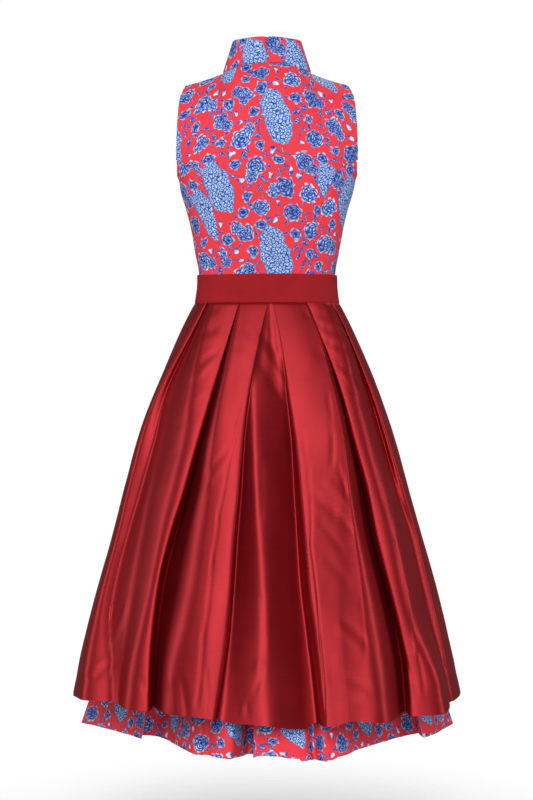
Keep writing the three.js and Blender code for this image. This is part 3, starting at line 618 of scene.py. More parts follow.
UPPER_FRONT = table(
    "w cy cz ex ey ez turn",
    (0.0, 110, -186, 163.5, 0, -186, 90), (0.16, 109, -178, 164.5, 25, -178, 78), (0.32, 108, -170, 160.0, 41, -152, 66),
    (0.52, 106.5, -161, 156.5, 45, -106, 58), (0.7, 105.5, -153, 156.5, 41, -70, 56), (0.86, 104.5, -146, 156.0, 25, -36, 55), (1.0, 104, -140, 151.0, 3, -11, 55),
)
NECK_SHARE, NECK_HALF, NECK_DEPTH, NECK_Y, NECK_BACK_Z, NECK_SIDE_Z = 0.5, 81.5, 62, 4, 22, 11
NECKLINE = table("s x y z", (0.0, 81.5, 4, 11), (0.22, 78, 39, -10), (0.48, 60, 74, -51), (0.75, 32, 96, -97), (1.0, 0, 104, -140))
BUST = dict(x=84, z=-247, out=24, wide=62, high=66, bridge=9)


def top_edge(u, back):
    u = np.asarray(u, float)
    s = np.clip(u / NECK_SHARE, 0, 1)
    if back:
        a = s * np.pi / 2
        neck = np.stack([NECK_HALF * np.sin(a), NECK_Y - NECK_DEPTH * np.cos(a), lerp(NECK_BACK_Z, NECK_SIDE_Z, np.sin(a) ** 2)], -1)
    else:
        neck = np.stack([read(NECKLINE, "s", k, 1 - s) for k in "xyz"], -1)
    s = np.clip((u - NECK_SHARE) / (1 - NECK_SHARE), 0, 1)
    sag = 1.5 * np.sin(np.pi * s)
    shoulder = np.stack([lerp(NECK_HALF, 151, s), lerp(4, 3, s), lerp(11, -11, s) - sag], -1)
    return np.where((u <= NECK_SHARE)[..., None], neck, shoulder)


def torso(u, v, back):
    u, v = np.broadcast_arrays(np.asarray(u, float), np.asarray(v, float))
    e = 2 / SQUARE
    z = lerp(UNDERARM_Z, WAIST_Z, np.clip(-v, 0, 1))
    a = u * np.pi / 2
    half, depth = read(TORSO, "z", "half", z), read(TORSO, "z", "back" if back else "front", z)
    low = np.stack([half * spow(np.sin(a), e), (-1 if back else 1) * depth * spow(np.cos(a), e), z], -1)
    T = UPPER_BACK if back else UPPER_FRONT
    w = np.clip(v, 0, 1)

    def shape(w):
        turn = np.radians(read(T, "w", "turn", w))
        a = u * turn
        e = lerp(2 / SQUARE, 1, smooth(w * 3))
        x = read(T, "w", "ex", w) * spow(np.sin(a), e) / spow(np.sin(turn), e)
        ct = spow(np.cos(turn), e)
        c = (spow(np.cos(a), e) - ct) / (1 - ct)
        lift = np.sin(a) ** 2 / np.sin(turn) ** 2
        return np.stack([x, lerp(read(T, "w", "ey", w), read(T, "w", "cy", w), c), lerp(read(T, "w", "cz", w), read(T, "w", "ez", w), lift)], -1)

    k = w ** (2.2 if back else 1.35)
    high = shape(w) + k[..., None] * (top_edge(u, back) - shape(np.ones_like(w)))
    p = np.where((v <= 0)[..., None], low, high)
    if not back:
        dz, dx = (p[..., 2] - BUST["z"]) / BUST["high"], (p[..., 0] - BUST["x"]) / BUST["wide"]
        fade = smooth((p[..., 2] - BAND_TOP - 4) / 60) * smooth((1 - u) / 0.4)
        p[..., 1] += fade * (BUST["out"] * np.exp(-dz * dz - dx * dx) + BUST["bridge"] * np.exp(-dz * dz - (p[..., 0] / 55) ** 2))
    return p


BACK_SEAM = table("v u", (-1, 0.425), (-0.78, 0.422), (-0.45, 0.425), (-0.28, 0.447), (-0.13, 0.48), (0, 0.53), (0.1, 0.6), (0.2, 0.74), (0.3, 1))
FRONT_SEAM = table("v u", (-1, 0.36), (-0.78, 0.37), (-0.45, 0.4), (-0.28, 0.43), (-0.13, 0.47), (0, 0.53), (0.12, 0.62), (0.26, 0.76), (0.4, 1))
# Soft drag lines of the worn bodice, on the back, those with x below 0 on the -X half: middle, length, width, depth,
# turn in degrees from level.
DRAGS = table(
    "x z long wide deep turn",
    (150, -148, 34, 7, -1.6, 38), (157, -104, 26, 8, -1.2, 60), (118, -232, 46, 10, -1.0, 62), (96, -318, 40, 9, -0.9, 12), (60, -338, 60, 9, -1.0, -6),
    (-140, -168, 40, 8, -1.7, -40), (-152, -196, 30, 7, -1.4, -28), (-118, -240, 42, 9, -1.1, -66), (-70, -344, 66, 8, -1.1, 4), (-104, -300, 38, 8, -0.9, -14),
    (0, -300, 90, 16, -0.8, 3), (24, -350, 70, 7, -0.9, 2), (-30, -20, 70, 12, 0.8, 10), (60, -6, 50, 9, 0.7, -18), (-84, 2, 30, 7, 0.9, 30),
)
BODICE_WAVES = Waves(3, 95, 20)


def drag_lines(p):
    d = np.zeros(p.shape[:-1])
    for x, z, long, wide, deep, turn in zip(*[DRAGS[k] for k in ("x", "z", "long", "wide", "deep", "turn")]):
        c, s = math.cos(math.radians(turn)), math.sin(math.radians(turn))
        dx, dz = p[..., 0] - x, p[..., 2] - z
        a, b = dx * c + dz * s, -dx * s + dz * c
        d += deep * np.exp(-((a / long) ** 2) - (b / wide) ** 2)
    return d


def bodice_panel(name, back, centre, sign, whole=False, offset=(0, 0)):
    seams = BACK_SEAM if back else FRONT_SEAM
    join = float(seams["v"][-1])
    low = np.linspace(-1, 0, 62)[:-1]
    high = np.linspace(0, 1, 70) if centre else np.linspace(0, join - 0.004, 22)
    v = np.concatenate([low, high])
    wide = 56 if centre else 36
    gap = 0.15 / 200
    seam = np.where(v >= join, 1.0, read(seams, "v", "u", v))
    if centre:
        start = np.full_like(v, 0 if back else gap)
        end = np.where(v >= join, 1.0, seam - gap)
    else:
        start, end = seam + gap, np.where(v <= 0, 1 - gap, 1.0)
    s = np.linspace(0, 1, wide + 1)
    u = start[:, None] + (end - start)[:, None] * s
    g = torso(u, np.minimum(v, 1 - 0.0006)[:, None], back)
    n = normals(g)
    if (n[..., 1] * (-1 if back else 1)).mean() < 0:
        n = -n
    if whole:
        g = np.concatenate([g[:, :0:-1] * [-1, 1, 1], g], 1)
        n = np.concatenate([n[:, :0:-1] * [-1, 1, 1], n], 1)
    elif sign < 0:
        g, n = g * [-1, 1, 1], n * [-1, 1, 1]
    # seams and edges turn in a little; a seam also puckers
    across, up = run_of(g, 1), run_of(g, 0)
    from_end = across[:, -1:] - across
    top = up[-1:] - up
    puck = 0.75 + 0.25 * np.sin(up / 4.3 + 2 * np.sin(up / 17.0 + sign))
    turn_in = -4.4 * puck * np.exp(-((from_end / 2.8) ** 2)) * np.where(v < join, 1, 0.5)[:, None]
    if whole or not centre or not back:
        turn_in += -4.4 * puck * np.exp(-((across / 2.8) ** 2)) * (0.4 if centre else 1)
    turn_in += -0.8 * np.exp(-((top / 1.5) ** 2))
    lift = BODICE_WAVES(g) * 0.35
    calm = smooth(top / 20) * smooth(up / 10) * smooth(across / 12 + (0 if whole or not centre else 1)) * smooth(from_end / 12)
    bend = (drag_lines(g) if back else 0.6 * drag_lines(g * [1, -1, 1])) + lift
    # the seams press a soft hollow beside them
    hollow = -1.8 * np.exp(-(((from_end - 6) / 5) ** 2)) * (v < join)[:, None]
    g = g + n * (turn_in + bend * calm + hollow * calm)[..., None]
    n2 = normals(g)
    if (n2 * n).sum() < 0:
        n2 = -n2
    inner = g - n2 * 0.9
    uv = flat_map(g, (g.shape[1] // 2 if (whole or not centre) else 0), 0, offset)
    if centre and not back:  # the front is nearly flat, so its cloth lies as seen from the front
        uv = np.stack([g[..., 0] * 1.08 + offset[0], g[..., 2] + 400 + offset[1]], -1) * MM
    if sign < 0 and not whole:
        uv[..., 0] = -uv[..., 0]
    ob = shell(name + "_cloth", g, inner, uv, PRINT, PRINT_BACK, node=name)
    across, up = run_of(g, 1), run_of(g, 0)
    return ob, g


bodice_panel("back_panel", True, True, 1, whole=True, offset=(37, 8))
bodice_panel("back_side_right", True, False, 1, offset=(148, 30))
bodice_panel("back_side_left", True, False, -1, offset=(96, 61))
bodice_panel("front_right", False, True, 1, offset=(120, 14))
bodice_panel("front_left", False, True, -1, offset=(20, 90))
bodice_panel("front_side_right", False, False, 1, offset=(60, 120))
bodice_panel("front_side_left", False, False, -1, offset=(175, 140))

# ------------------------------------------------------------------ collar
COLLAR = table(
    "s rise lean tilt",
    (0.0, 48, 0, 9), (0.18, 50, 7, 7), (0.42, 57.6, 17.5, 0), (0.5, 59, 18.8, -2), (0.62, 49.5, 16, -6), (0.78, 30, 9, -7), (0.92, 13, 3.5, -4), (1.0, 5, 0.6, -1.5),
)


def collar_half(name, sign, offset):
    cols, rows = 96, 26
    s = np.linspace(0, 1, cols + 1)[None, :]
    h = np.linspace(0, 1, rows + 1)[:, None]
    back = top_edge(2 * NECK_SHARE * np.minimum(s, 0.5), True)
    front = top_edge(2 * NECK_SHARE * (1 - np.maximum(s, 0.5)), False)
    base = np.where((s <= 0.5)[..., None], back, front)
    rise, lean, tilt = (read(COLLAR, "s", k, s) for k in ("rise", "lean", "tilt"))
    bow = 2.5 * np.sin(np.pi * h) * np.clip(rise / 50, 0, 1)
    out_x = np.sin(np.clip(s * 2, 0, 1) * np.pi / 2) * bow
    out_y = np.where(s < 0.5, -np.cos(s * np.pi), 0.3) * bow
    x = base[..., 0] - lean * h**1.15 - 0.4 * out_x
    y = base[..., 1] + tilt * h - 0.4 * out_y
    z = base[..., 2] + rise * h + 0.25
    g = np.stack([x, y, z], -1)
    g[:, 0, 0] = g[:, -1, 0] = 0.06
    n = normals(g)
    if (n[:, : cols // 2, 1]).mean() > 0:
        n = -n
    across, up = run_of(g, 1), run_of(g, 0)
    height = up[-1:]
    edge = height - up
    puck = 0.8 + 0.2 * np.sin(up / 3.1)
    d = -4.4 * puck * np.exp(-((across / 2.8) ** 2)) - 0.9 * np.exp(-((edge / 1.4) ** 2)) - 1.3 * np.exp(-((up / 1.8) ** 2))
    wave = Waves(21 + (sign > 0), 48, 14)(g) * 0.35 * smooth(up / 8) * smooth(edge / 5) * smooth(across / 8)
    crease = -0.6 * np.exp(-(((across - 62 - up * 0.4) / 6) ** 2)) * np.sin(np.pi * up / np.maximum(height, 1))
    g = g + n * (d + wave + crease)[..., None]
    inner = g - n * 1.5
    g[:, 0, 0] = inner[:, 0, 0] = 0.06
    if sign < 0:
        g, inner = g * [-1, 1, 1], inner * [-1, 1, 1]
    uv = flat_map(g, 0, 0, offset)
    if sign < 0:
        uv[..., 0] = -uv[..., 0]
    ob = shell(name + "_cloth", g, inner, uv, PRINT, PRINT, node=name)
    w, l = float(run_of(g, 1)[0, -1]), float(up[-1].max())


collar_half("collar_right", 1, (96, 196))
collar_half("collar_left", -1, (140, 70))


# ------------------------------------------------------------------ waistband
def oval(half, back, front, a, square=SQUARE):
    e = 2 / square
    c = np.cos(a)
    return half * spow(np.sin(a), e), -np.where(c > 0, back, front) * spow(c, e)


BAND = table("z half back front", (-360, 129.0, 90.0, 101.0), (-380, 129.4, 90.6, 101.6), (-398, 131.2, 92.2, 103.0), (-413, 133.6, 94.6, 105.0))


def waistband():
    cols, rows = 260, 22
    a = np.radians(np.arange(cols) * 360 / cols - 180)[None, :]
    t = np.linspace(0, 1, rows + 1)[:, None]
    sag = 1.6 * np.cos(a) * (np.cos(a) > 0)
    z = lerp(BAND_BOTTOM + 0.2, BAND_TOP, t) - sag + 0.5 * np.sin(3 * a + 1) * t
    x, y = oval(read(BAND, "z", "half", z), read(BAND, "z", "back", z), read(BAND, "z", "front", z), a)
    g = np.stack(np.broadcast_arrays(x, y, z), -1)
    n = unit(g * [1, 1.9, 0])
    up = run_of(g, 0)
    edge = up[-1:] - up
    d = -0.7 * np.exp(-((edge / 1.2) ** 2)) - 0.6 * np.exp(-((up / 1.2) ** 2)) + Waves(31, 70, 16)(g) * 0.35 * smooth(up / 8) * smooth(edge / 8)
    d += -0.5 * np.exp(-(((up - 20 - 8 * np.sin(2 * a)) / 5) ** 2)) * np.exp(-(((np.degrees(a) + 38) / 22) ** 2))
    g = g + n * d[..., None]
    inner = g - n * 1.8
    arc = np.linspace(0, 1, cols + 1) * 2 * math.pi * 116
    uv = np.stack(np.broadcast_arrays(arc[None, :], np.append(up, up[:, :1], 1)), -1) * MM
    ob = shell("waistband_cloth", g, inner, uv, BAND_CLOTH, BAND_CLOTH, loop=True, node="waistband")


waistband()

# ------------------------------------------------------------------ overskirt
OVER_TOP, OVER_HEM = -413.2, -1130
SKIRT = table(
    "z half deep square",
    (-413, 134.2, 0.715, 2.2), (-443, 150.2, 0.745, 2.15), (-489, 171.5, 0.785, 2.1), (-535, 191.5, 0.815, 2.06), (-590, 212, 0.84, 2.03),
    (-645, 231, 0.858, 2), (-701, 248, 0.872, 2), (-775, 268.5, 0.885, 2), (-848, 289, 0.895, 2), (-922, 309.5, 0.905, 2), (-996, 328, 0.912, 2),
    (-1070, 345.5, 0.918, 2), (-1130, 358.5, 0.92, 2),
)
# The lines along which the cloth turns, from the side seam on -X round the back to the one on +X. Each has how round the turn is at
# the band and at the hem, then its x and its y at the heights DROPS. A name ends in e for a fold edge, v for the bottom of a valley,
# s for the end of the flat strip beside an edge, and m, r or b for a softer turn. U1 to U4 are the cloth in the middle, beneath both.
DROPS = (-413, -440, -480, -530, -590, -660, -740, -820, -900, -980, -1060, -1130)
LINES = {
    "L1s": (3, 12, (-112.9, -126.6, -148.2, -176.3, -206.1, -231.6, -250.8, -268.2, -288.2, -306.1, -319.3, -323.2), (-66, -72.4, -77.9, -78, -77.3, -92.3, -101, -109.3, -120.7, -141.6, -177.4, -205.3)),
    "L1e": (2.5, 9, (-108.1, -120.9, -141.6, -168.3, -195.1, -213.5, -234.9, -254.9, -273.6, -285.3, -281.4, -277.3), (-66.8, -73.3, -79, -79.2, -79.1, -95.2, -103.6, -111.5, -123.1, -144.8, -183.6, -213.1)),
    "L1v": (2, 12, (-112.3, -121.6, -138.4, -162.6, -186.2, -201.1, -222.7, -245.9, -263.7, -274.4, -271.9, -268.3), (-59.4, -65.9, -71.3, -72, -74.5, -93.1, -104.4, -112.7, -127, -149.5, -186.8, -216.9)),
    "Lb": (6, 8, (-108.9, -117.9, -134.3, -158.5, -182, -194.9, -212.4, -227.6, -241.6, -252.6, -256.3, -257.1), (-62.7, -71.7, -80.3, -83.4, -86.8, -108.3, -132.8, -153.7, -173.4, -191.4, -211.9, -229.6)),
    "L2m": (6, 14, (-105.1, -114.5, -130.5, -151.9, -172.2, -185.3, -202.1, -217.1, -230.6, -240.4, -251, -257.3), (-66.2, -75.9, -86.2, -93.4, -103.2, -123.7, -144.8, -164.5, -183.8, -203.8, -219.8, -233.6)),
    "L2s": (10, 16, (-99.6, -108.5, -119.7, -129.4, -137.6, -147.7, -167, -185.3, -199.7, -215.5, -233, -241.2), (-89.9, -103, -121.6, -142.7, -164.9, -185.2, -203.2, -217.2, -233.6, -251.7, -268.4, -281.9)),
    "L2e": (2, 5, (-49.3, -57.3, -69.2, -83.9, -101.3, -121, -142.5, -166.2, -184.2, -194.1, -199.3, -200.4), (-95.9, -109.1, -127.7, -148.2, -169.2, -188.4, -206.2, -219.4, -235.4, -254.3, -272.4, -287)),
    "L3v": (1.5, 8, (-56.9, -61.9, -70.4, -83, -98.6, -116.9, -137.5, -160.9, -179.3, -189.9, -195.1, -196.4), (-90.9, -101.1, -114.8, -127.5, -136, -142.2, -148.2, -156.9, -171.6, -192.3, -216.3, -236.2)),
    "L3m": (4, 16, (-48.6, -55, -63.7, -73.6, -86.6, -101.4, -111.7, -124.5, -136, -151.7, -169.2, -173.1), (-95.6, -110, -130.5, -153.6, -176.5, -199, -220.6, -239.8, -261, -279, -293.2, -306.2)),
    "L3s": (8, 12, (-46.2, -50, -56.6, -65.4, -73.9, -81.8, -85.3, -90.2, -98.9, -108.6, -118.3, -126.9), (-96.5, -111.7, -133.1, -156.5, -181.1, -206.1, -230.1, -252.2, -274.4, -294.6, -311.6, -323.8)),
    "L3e": (1.8, 4, (2.6, -4.2, -13.5, -23.5, -34.2, -42.3, -48, -56.1, -61.4, -68, -78.2, -87.3), (-99.8, -114.9, -136.1, -159.5, -183.9, -208.9, -232.7, -254.6, -277, -297.5, -314.4, -326.7)),
    "U1": (1.5, 8, (-4.7, -10.5, -18, -25.8, -34.3, -41.4, -46.5, -53.9, -59.6, -65.8, -75.8, -84.8), (-95.1, -107.2, -124.3, -142.6, -159.4, -173.5, -184.4, -198.5, -218.3, -241.9, -270.8, -295.2)),
    "U2": (4, 9, (3.2, -1.4, -8.2, -15.5, -21.2, -22.6, -20.1, -14.6, -8.3, -6.8, -10.1, -10.1), (-94.9, -104.6, -119.4, -138.9, -163.2, -188, -208.1, -227.5, -249.6, -272.6, -297.8, -317.1)),
    "U3": (4, 10, (5.3, 6.3, 9.4, 14.5, 16, 17.6, 18.3, 18.2, 18.6, 18.8, 17.7, 14.1), (-94.6, -102.8, -114.8, -130, -150.4, -171.5, -191.3, -210.7, -234.3, -261.2, -291.6, -316.6)),
    "U4": (1.5, 9, (14.4, 20.1, 27, 32.5, 38, 45.6, 50.4, 55.6, 60.8, 70.3, 79.9, 86.7), (-95.1, -104.7, -117, -128.7, -140.9, -153.1, -167.4, -185, -206.1, -227.4, -253.6, -278.3)),
    "R3e": (1.8, 4, (8.9, 15.6, 24.1, 31.9, 39.5, 49.5, 57, 63.9, 69.9, 80.5, 89.5, 96.4), (-99.7, -114.5, -135.4, -158.6, -183.1, -207.6, -231.1, -253.1, -275.3, -294.8, -311.8, -324.5)),
    "R3s": (8, 12, (61.1, 75.2, 91.5, 103.5, 116.2, 126.9, 121.2, 102.4, 101.9, 108.9, 120, 128.6), (-96.1, -110.4, -130.7, -153.6, -177.8, -202.2, -226.6, -250.4, -273.1, -292.8, -309.7, -322.1)),
    "R3m": (5, 16, (63.9, 77.4, 93.2, 105.5, 118.8, 130.8, 136.6, 142, 148.2, 147.8, 148.4, 150.1), (-95.6, -109.9, -130.3, -153.2, -177.2, -201.4, -223.5, -242.4, -263.8, -285, -304, -317.6)),
    "R3r": (4, 16, (66.6, 80.1, 95.6, 107.4, 121.5, 133.6, 144.5, 158.6, 173.9, 186.6, 197.7, 203.7), (-95.4, -109.7, -130.1, -153.1, -177, -201.2, -222.9, -241.1, -261.7, -281.9, -300, -313.1)),
    "R3v": (1.5, 8, (76.3, 85.5, 99.6, 116.8, 134, 149.9, 170.4, 183.8, 203.3, 223.2, 237.7, 241.6), (-84.1, -92, -102.2, -111.1, -116.7, -122.7, -126.8, -141.1, -153.9, -167.1, -184, -203.7)),
    "R2e": (2, 5, (68.6, 80.8, 98.2, 117.5, 136.4, 153.7, 174.4, 188.6, 208.4, 227.9, 242.1, 245.2), (-90.2, -100.8, -115.5, -131.6, -149.5, -168.1, -184.5, -203.2, -216.8, -227.7, -239.3, -254.3)),
    "R2s": (10, 14, (106.6, 119.6, 135.5, 148.7, 161.5, 178.4, 203.1, 223.4, 238.6, 260.3, 295.9, 308.5), (-86.1, -96.6, -111.4, -128.2, -146.7, -165.4, -181.3, -199.3, -213.5, -224.1, -233.4, -247)),
    "R2v": (2, 12, (117.2, 131.2, 149.6, 168.5, 188.3, 208.9, 228.7, 253.4, 272.5, 289.2, 311.1, 324.9), (-53.6, -54, -56.7, -63.4, -71.2, -80.3, -95, -100.7, -113.2, -126.6, -128.2, -133.9)),
    "R1e": (2.5, 8, (120, 132.7, 150.3, 170.1, 192.1, 212.6, 236.7, 262.5, 281.5, 299.5, 317.7, 330.6), (-53.1, -58.9, -67.3, -76.5, -84.7, -95.9, -98.8, -94.7, -106.8, -117.6, -122.9, -125.6)),
    "R1s": (3, 10, (122.7, 135.9, 154.3, 175.1, 198.6, 220.8, 243.6, 266.2, 285.5, 304, 321.1, 332.6), (-52, -57.6, -65.7, -74.6, -82.1, -92.6, -96.1, -93.2, -105.2, -115.8, -121.5, -124.8)),
}
HEM_LIFT = table(
    "a up",
    (-180, 0), (-130, 10), (-90, 2), (-52, 20), (-30, 15), (-20.5, 13), (-16, 11), (-12, 0), (0, -4), (8, -12), (11, -13), (14.5, -5), (18, -2), (22, 4.5),
    (31, 0), (40, 1), (62, 5), (90, 2), (130, 10), (180, 0),
)
TURN, STEP = 7, 6.0  # points in each turn, and the distance between points along a flat
FACE_OF = {"L1s": 0, "L1e": 0, "L3v": 2, "L3m": 2, "L3s": 2, "L3e": 3, "U1": 3, "U2": 3, "U3": 3, "U4": 3, "R1e": 6, "R1s": 6}
FACE_OF.update({k: 1 for k in ("L1v", "Lb", "L2m", "L2s", "L2e")})
FACE_OF.update({k: 4 for k in ("R3e", "R3s", "R3m", "R3r", "R3v")})
FACE_OF.update({k: 5 for k in ("R2e", "R2s", "R2v")})

# Creases of the worn taffeta: the face they lie on, both ends as seen from behind, width and height (out +, in -), all in mm.
CREASES = table(
    "face x0 z0 x1 z1 wide out",
    (1, -117, -432, -94, -425, 2.4, -0.94), (1, -110, -448, -88, -438, 2.7, 0.73), (1, -122, -472, -88, -459, 2.4, -1.35), (1, -116, -484, -82, -476, 3.2, 0.83),
    (1, -123, -527, -87, -499, 2.9, -1.14), (1, -115, -538, -89, -517, 3.2, 0.94), (1, -146, -566, -110, -550, 4, -0.78), (1, -142, -595, -108, -573, 4.8, 0.78),
    (1, -156, -630, -123, -612, 4.8, -0.62), (1, -169, -684, -140, -671, 6, -0.52), (1, -200, -890, -190, -894, 2, 0.62), (2, -26, -531, -51, -628, 1.5, -0.6),
    (2, -51, -628, -68, -700, 1.6, -0.78), (2, -68, -700, -84, -784, 1.7, -0.84), (2, -84, -784, -94, -859, 1.9, -0.84), (2, -94, -859, -108, -991, 2.4, -0.84),
    (2, -108, -991, -118, -1109, 3, -1.08), (2, -108, -718, -69, -673, 3.2, -0.96), (2, -104, -735, -73, -697, 4, 0.6), (2, -75, -490, -32, -497, 4, -0.54),
    (2, -82, -441, -32, -470, 6, -0.54), (2, -88, -578, -49, -590, 6, -0.36), (2, -144, -1075, -136, -1123, 5, -1.44), (2, -163, -1076, -153, -1124, 5, 1.08),
    (2, -103, -1056, -97, -1121, 3, -0.84), (3, -11, -469, 35, -527, 4.5, -0.8), (3, -11, -492, 39, -573, 5, 0.9), (3, -14, -520, 28, -590, 5, -0.8),
    (3, -51, -845, -10, -840, 3, -0.45), (3, -44, -838, -10, -846, 3, 0.4), (3, -10, -924, -7, -1022, 5, -0.5), (3, -18, -1035, -10, -1025, 3, 0.9),
    (3, -8, -1047, -20, -1070, 3.5, -1.1), (3, -42, -1106, -37, -1093, 3, 1.1), (3, -32, -1112, -37, -1096, 3, -1), (3, -10, -707, -10, -791, 6, -0.6),
    (3, -48, -792, 0, -805, 6, -0.5), (4, 59, -639, 74, -741, 1.6, -0.66), (4, 74, -741, 75, -834, 1.7, -0.72), (4, 75, -834, 90, -991, 2, -0.77),
    (4, 90, -991, 97, -1113, 2.4, -0.88), (4, 108, -580, 112, -636, 2, -0.72), (4, 114, -650, 113, -694, 3.2, -1.1), (4, 70, -436, 81, -440, 2, -0.99),
    (4, 89, -502, 103, -513, 3, -0.55), (4, 86, -755, 114, -780, 5, -1.1), (4, 108, -732, 135, -760, 5, 0.88), (4, 93, -796, 127, -840, 5, -0.77),
    (4, 114, -773, 145, -811, 5, -0.99), (4, 125, -708, 136, -746, 4, -0.77), (4, 131, -963, 167, -995, 4, -1.1), (4, 124, -976, 157, -1007, 5, 0.77),
    (4, 111, -1050, 170, -1073, 5, -1.1), (4, 104, -1072, 166, -1086, 4, 0.77), (4, 108, -1095, 176, -1103, 5, -0.77), (4, 122, -1025, 178, -1015, 6, 0.77),
    (4, 106, -860, 134, -894, 7, -0.66), (4, 161, -929, 167, -1011, 5, -0.39), (4, 175, -971, 181, -996, 5, -0.5), (5, 79, -432, 115, -441, 2.4, -1),
    (5, 89, -452, 134, -448, 2.9, 0.8), (5, 97, -457, 141, -475, 2.4, -1.3), (5, 104, -474, 148, -491, 2.9, 0.9), (5, 113, -488, 155, -502, 2.4, -1.2),
    (5, 121, -502, 158, -520, 3.2, 0.9), (5, 130, -527, 161, -549, 2.7, -1.2), (5, 137, -545, 164, -574, 3.2, 0.7), (5, 149, -574, 175, -609, 3.2, -0.7),
    (5, 169, -710, 194, -718, 3, -0.5), (5, 220, -765, 225, -833, 2.2, 0.9), (5, 225, -833, 245, -920, 2.2, 0.9), (5, 245, -920, 257, -1021, 2.4, 0.9),
    (5, 235, -1026, 256, -1087, 3, -0.9), (5, 261, -1030, 271, -1089, 2.6, -0.9), (5, 284, -1034, 312, -1062, 6, -1.1), (5, 279, -1068, 315, -1089, 6, 0.8),
    (5, 188, -685, 205, -764, 5, -0.6), (1, -292, -952, -273, -964, 3, -1.14), (1, -273, -964, -246, -957, 2, -1.35), (1, -269, -954, -244, -946, 3, 0.83),
    (1, -275, -971, -285, -1023, 5, -1.56), (1, -248, -963, -276, -1034, 5, 1.35), (1, -327, -1100, -294, -1084, 4, -1.35), (1, -298, -1087, -260, -1051, 4, -1.35),
    (1, -324, -1083, -279, -1061, 5, 1.14), (1, -286, -1099, -252, -1063, 5, 0.94), (1, -215, -1081, -204, -1096, 3, -1.04), (0, -327, -1100, -294, -1084, 4, -1.09),
    (0, -298, -1087, -260, -1051, 4, -1.09), (0, -324, -1083, -279, -1061, 5, 0.92),
)
CRUMPLE = (Waves(5, 34, 22, (1, 1, 0.55)), Waves(6, 85, 22, (1, 1, 0.4)), Waves(7, 210, 16, (1, 1, 0.5)))


def ring_of(p, between):
    """A closed line through the points p (x, y, how round), with each turn rounded and the flats bowed out a little."""
    q, r = p[:, :2], p[:, 2]
    before, after = np.roll(q, 1, 0) - q, np.roll(q, -1, 0) - q
    lb, la = np.linalg.norm(before, axis=1), np.linalg.norm(after, axis=1)
    c = np.minimum(r, np.minimum(lb, la) * 0.46)
    start, end = q + before / lb[:, None] * c[:, None], q + after / la[:, None] * c[:, None]
    u = np.linspace(0, 1, TURN)[:, None]
    ring = []
    for k in range(len(q)):
        ring.append((1 - u) ** 2 * start[k] + 2 * u * (1 - u) * q[k] + u**2 * end[k])
        a, b = end[k], start[(k + 1) % len(q)]
        s = (np.arange(between[k]) + 1)[:, None] / (between[k] + 1)
        d = b - a
        ring.append(a + d * s + np.array([d[1], -d[0]]) * 0.030 * np.sin(np.pi * s))
    return np.concatenate(ring)


def turns(z):
    """Where the cloth turns at one height, all round from the side seam on -X, and how round each turn is."""
    t = (OVER_TOP - z) / (OVER_TOP - OVER_HEM)
    half = float(read(SKIRT, "z", "half", z))
    deep = half * float(read(SKIRT, "z", "deep", z))
    back = [(float(hermite(DROPS, x, z)), float(hermite(DROPS, y, z)), lerp(r0, r1, float(smooth(t * 1.5)))) for r0, r1, x, y in LINES.values()]
    fuller = 1 + 10 * (1 - float(smooth(t * 3))) / deep  # the front is fuller at the band
    seam = lerp(6, 8, t)
    return np.array([(-half, 0, seam), *back, (half, 0, seam), *((-x, -y * fuller, r) for x, y, r in back)])


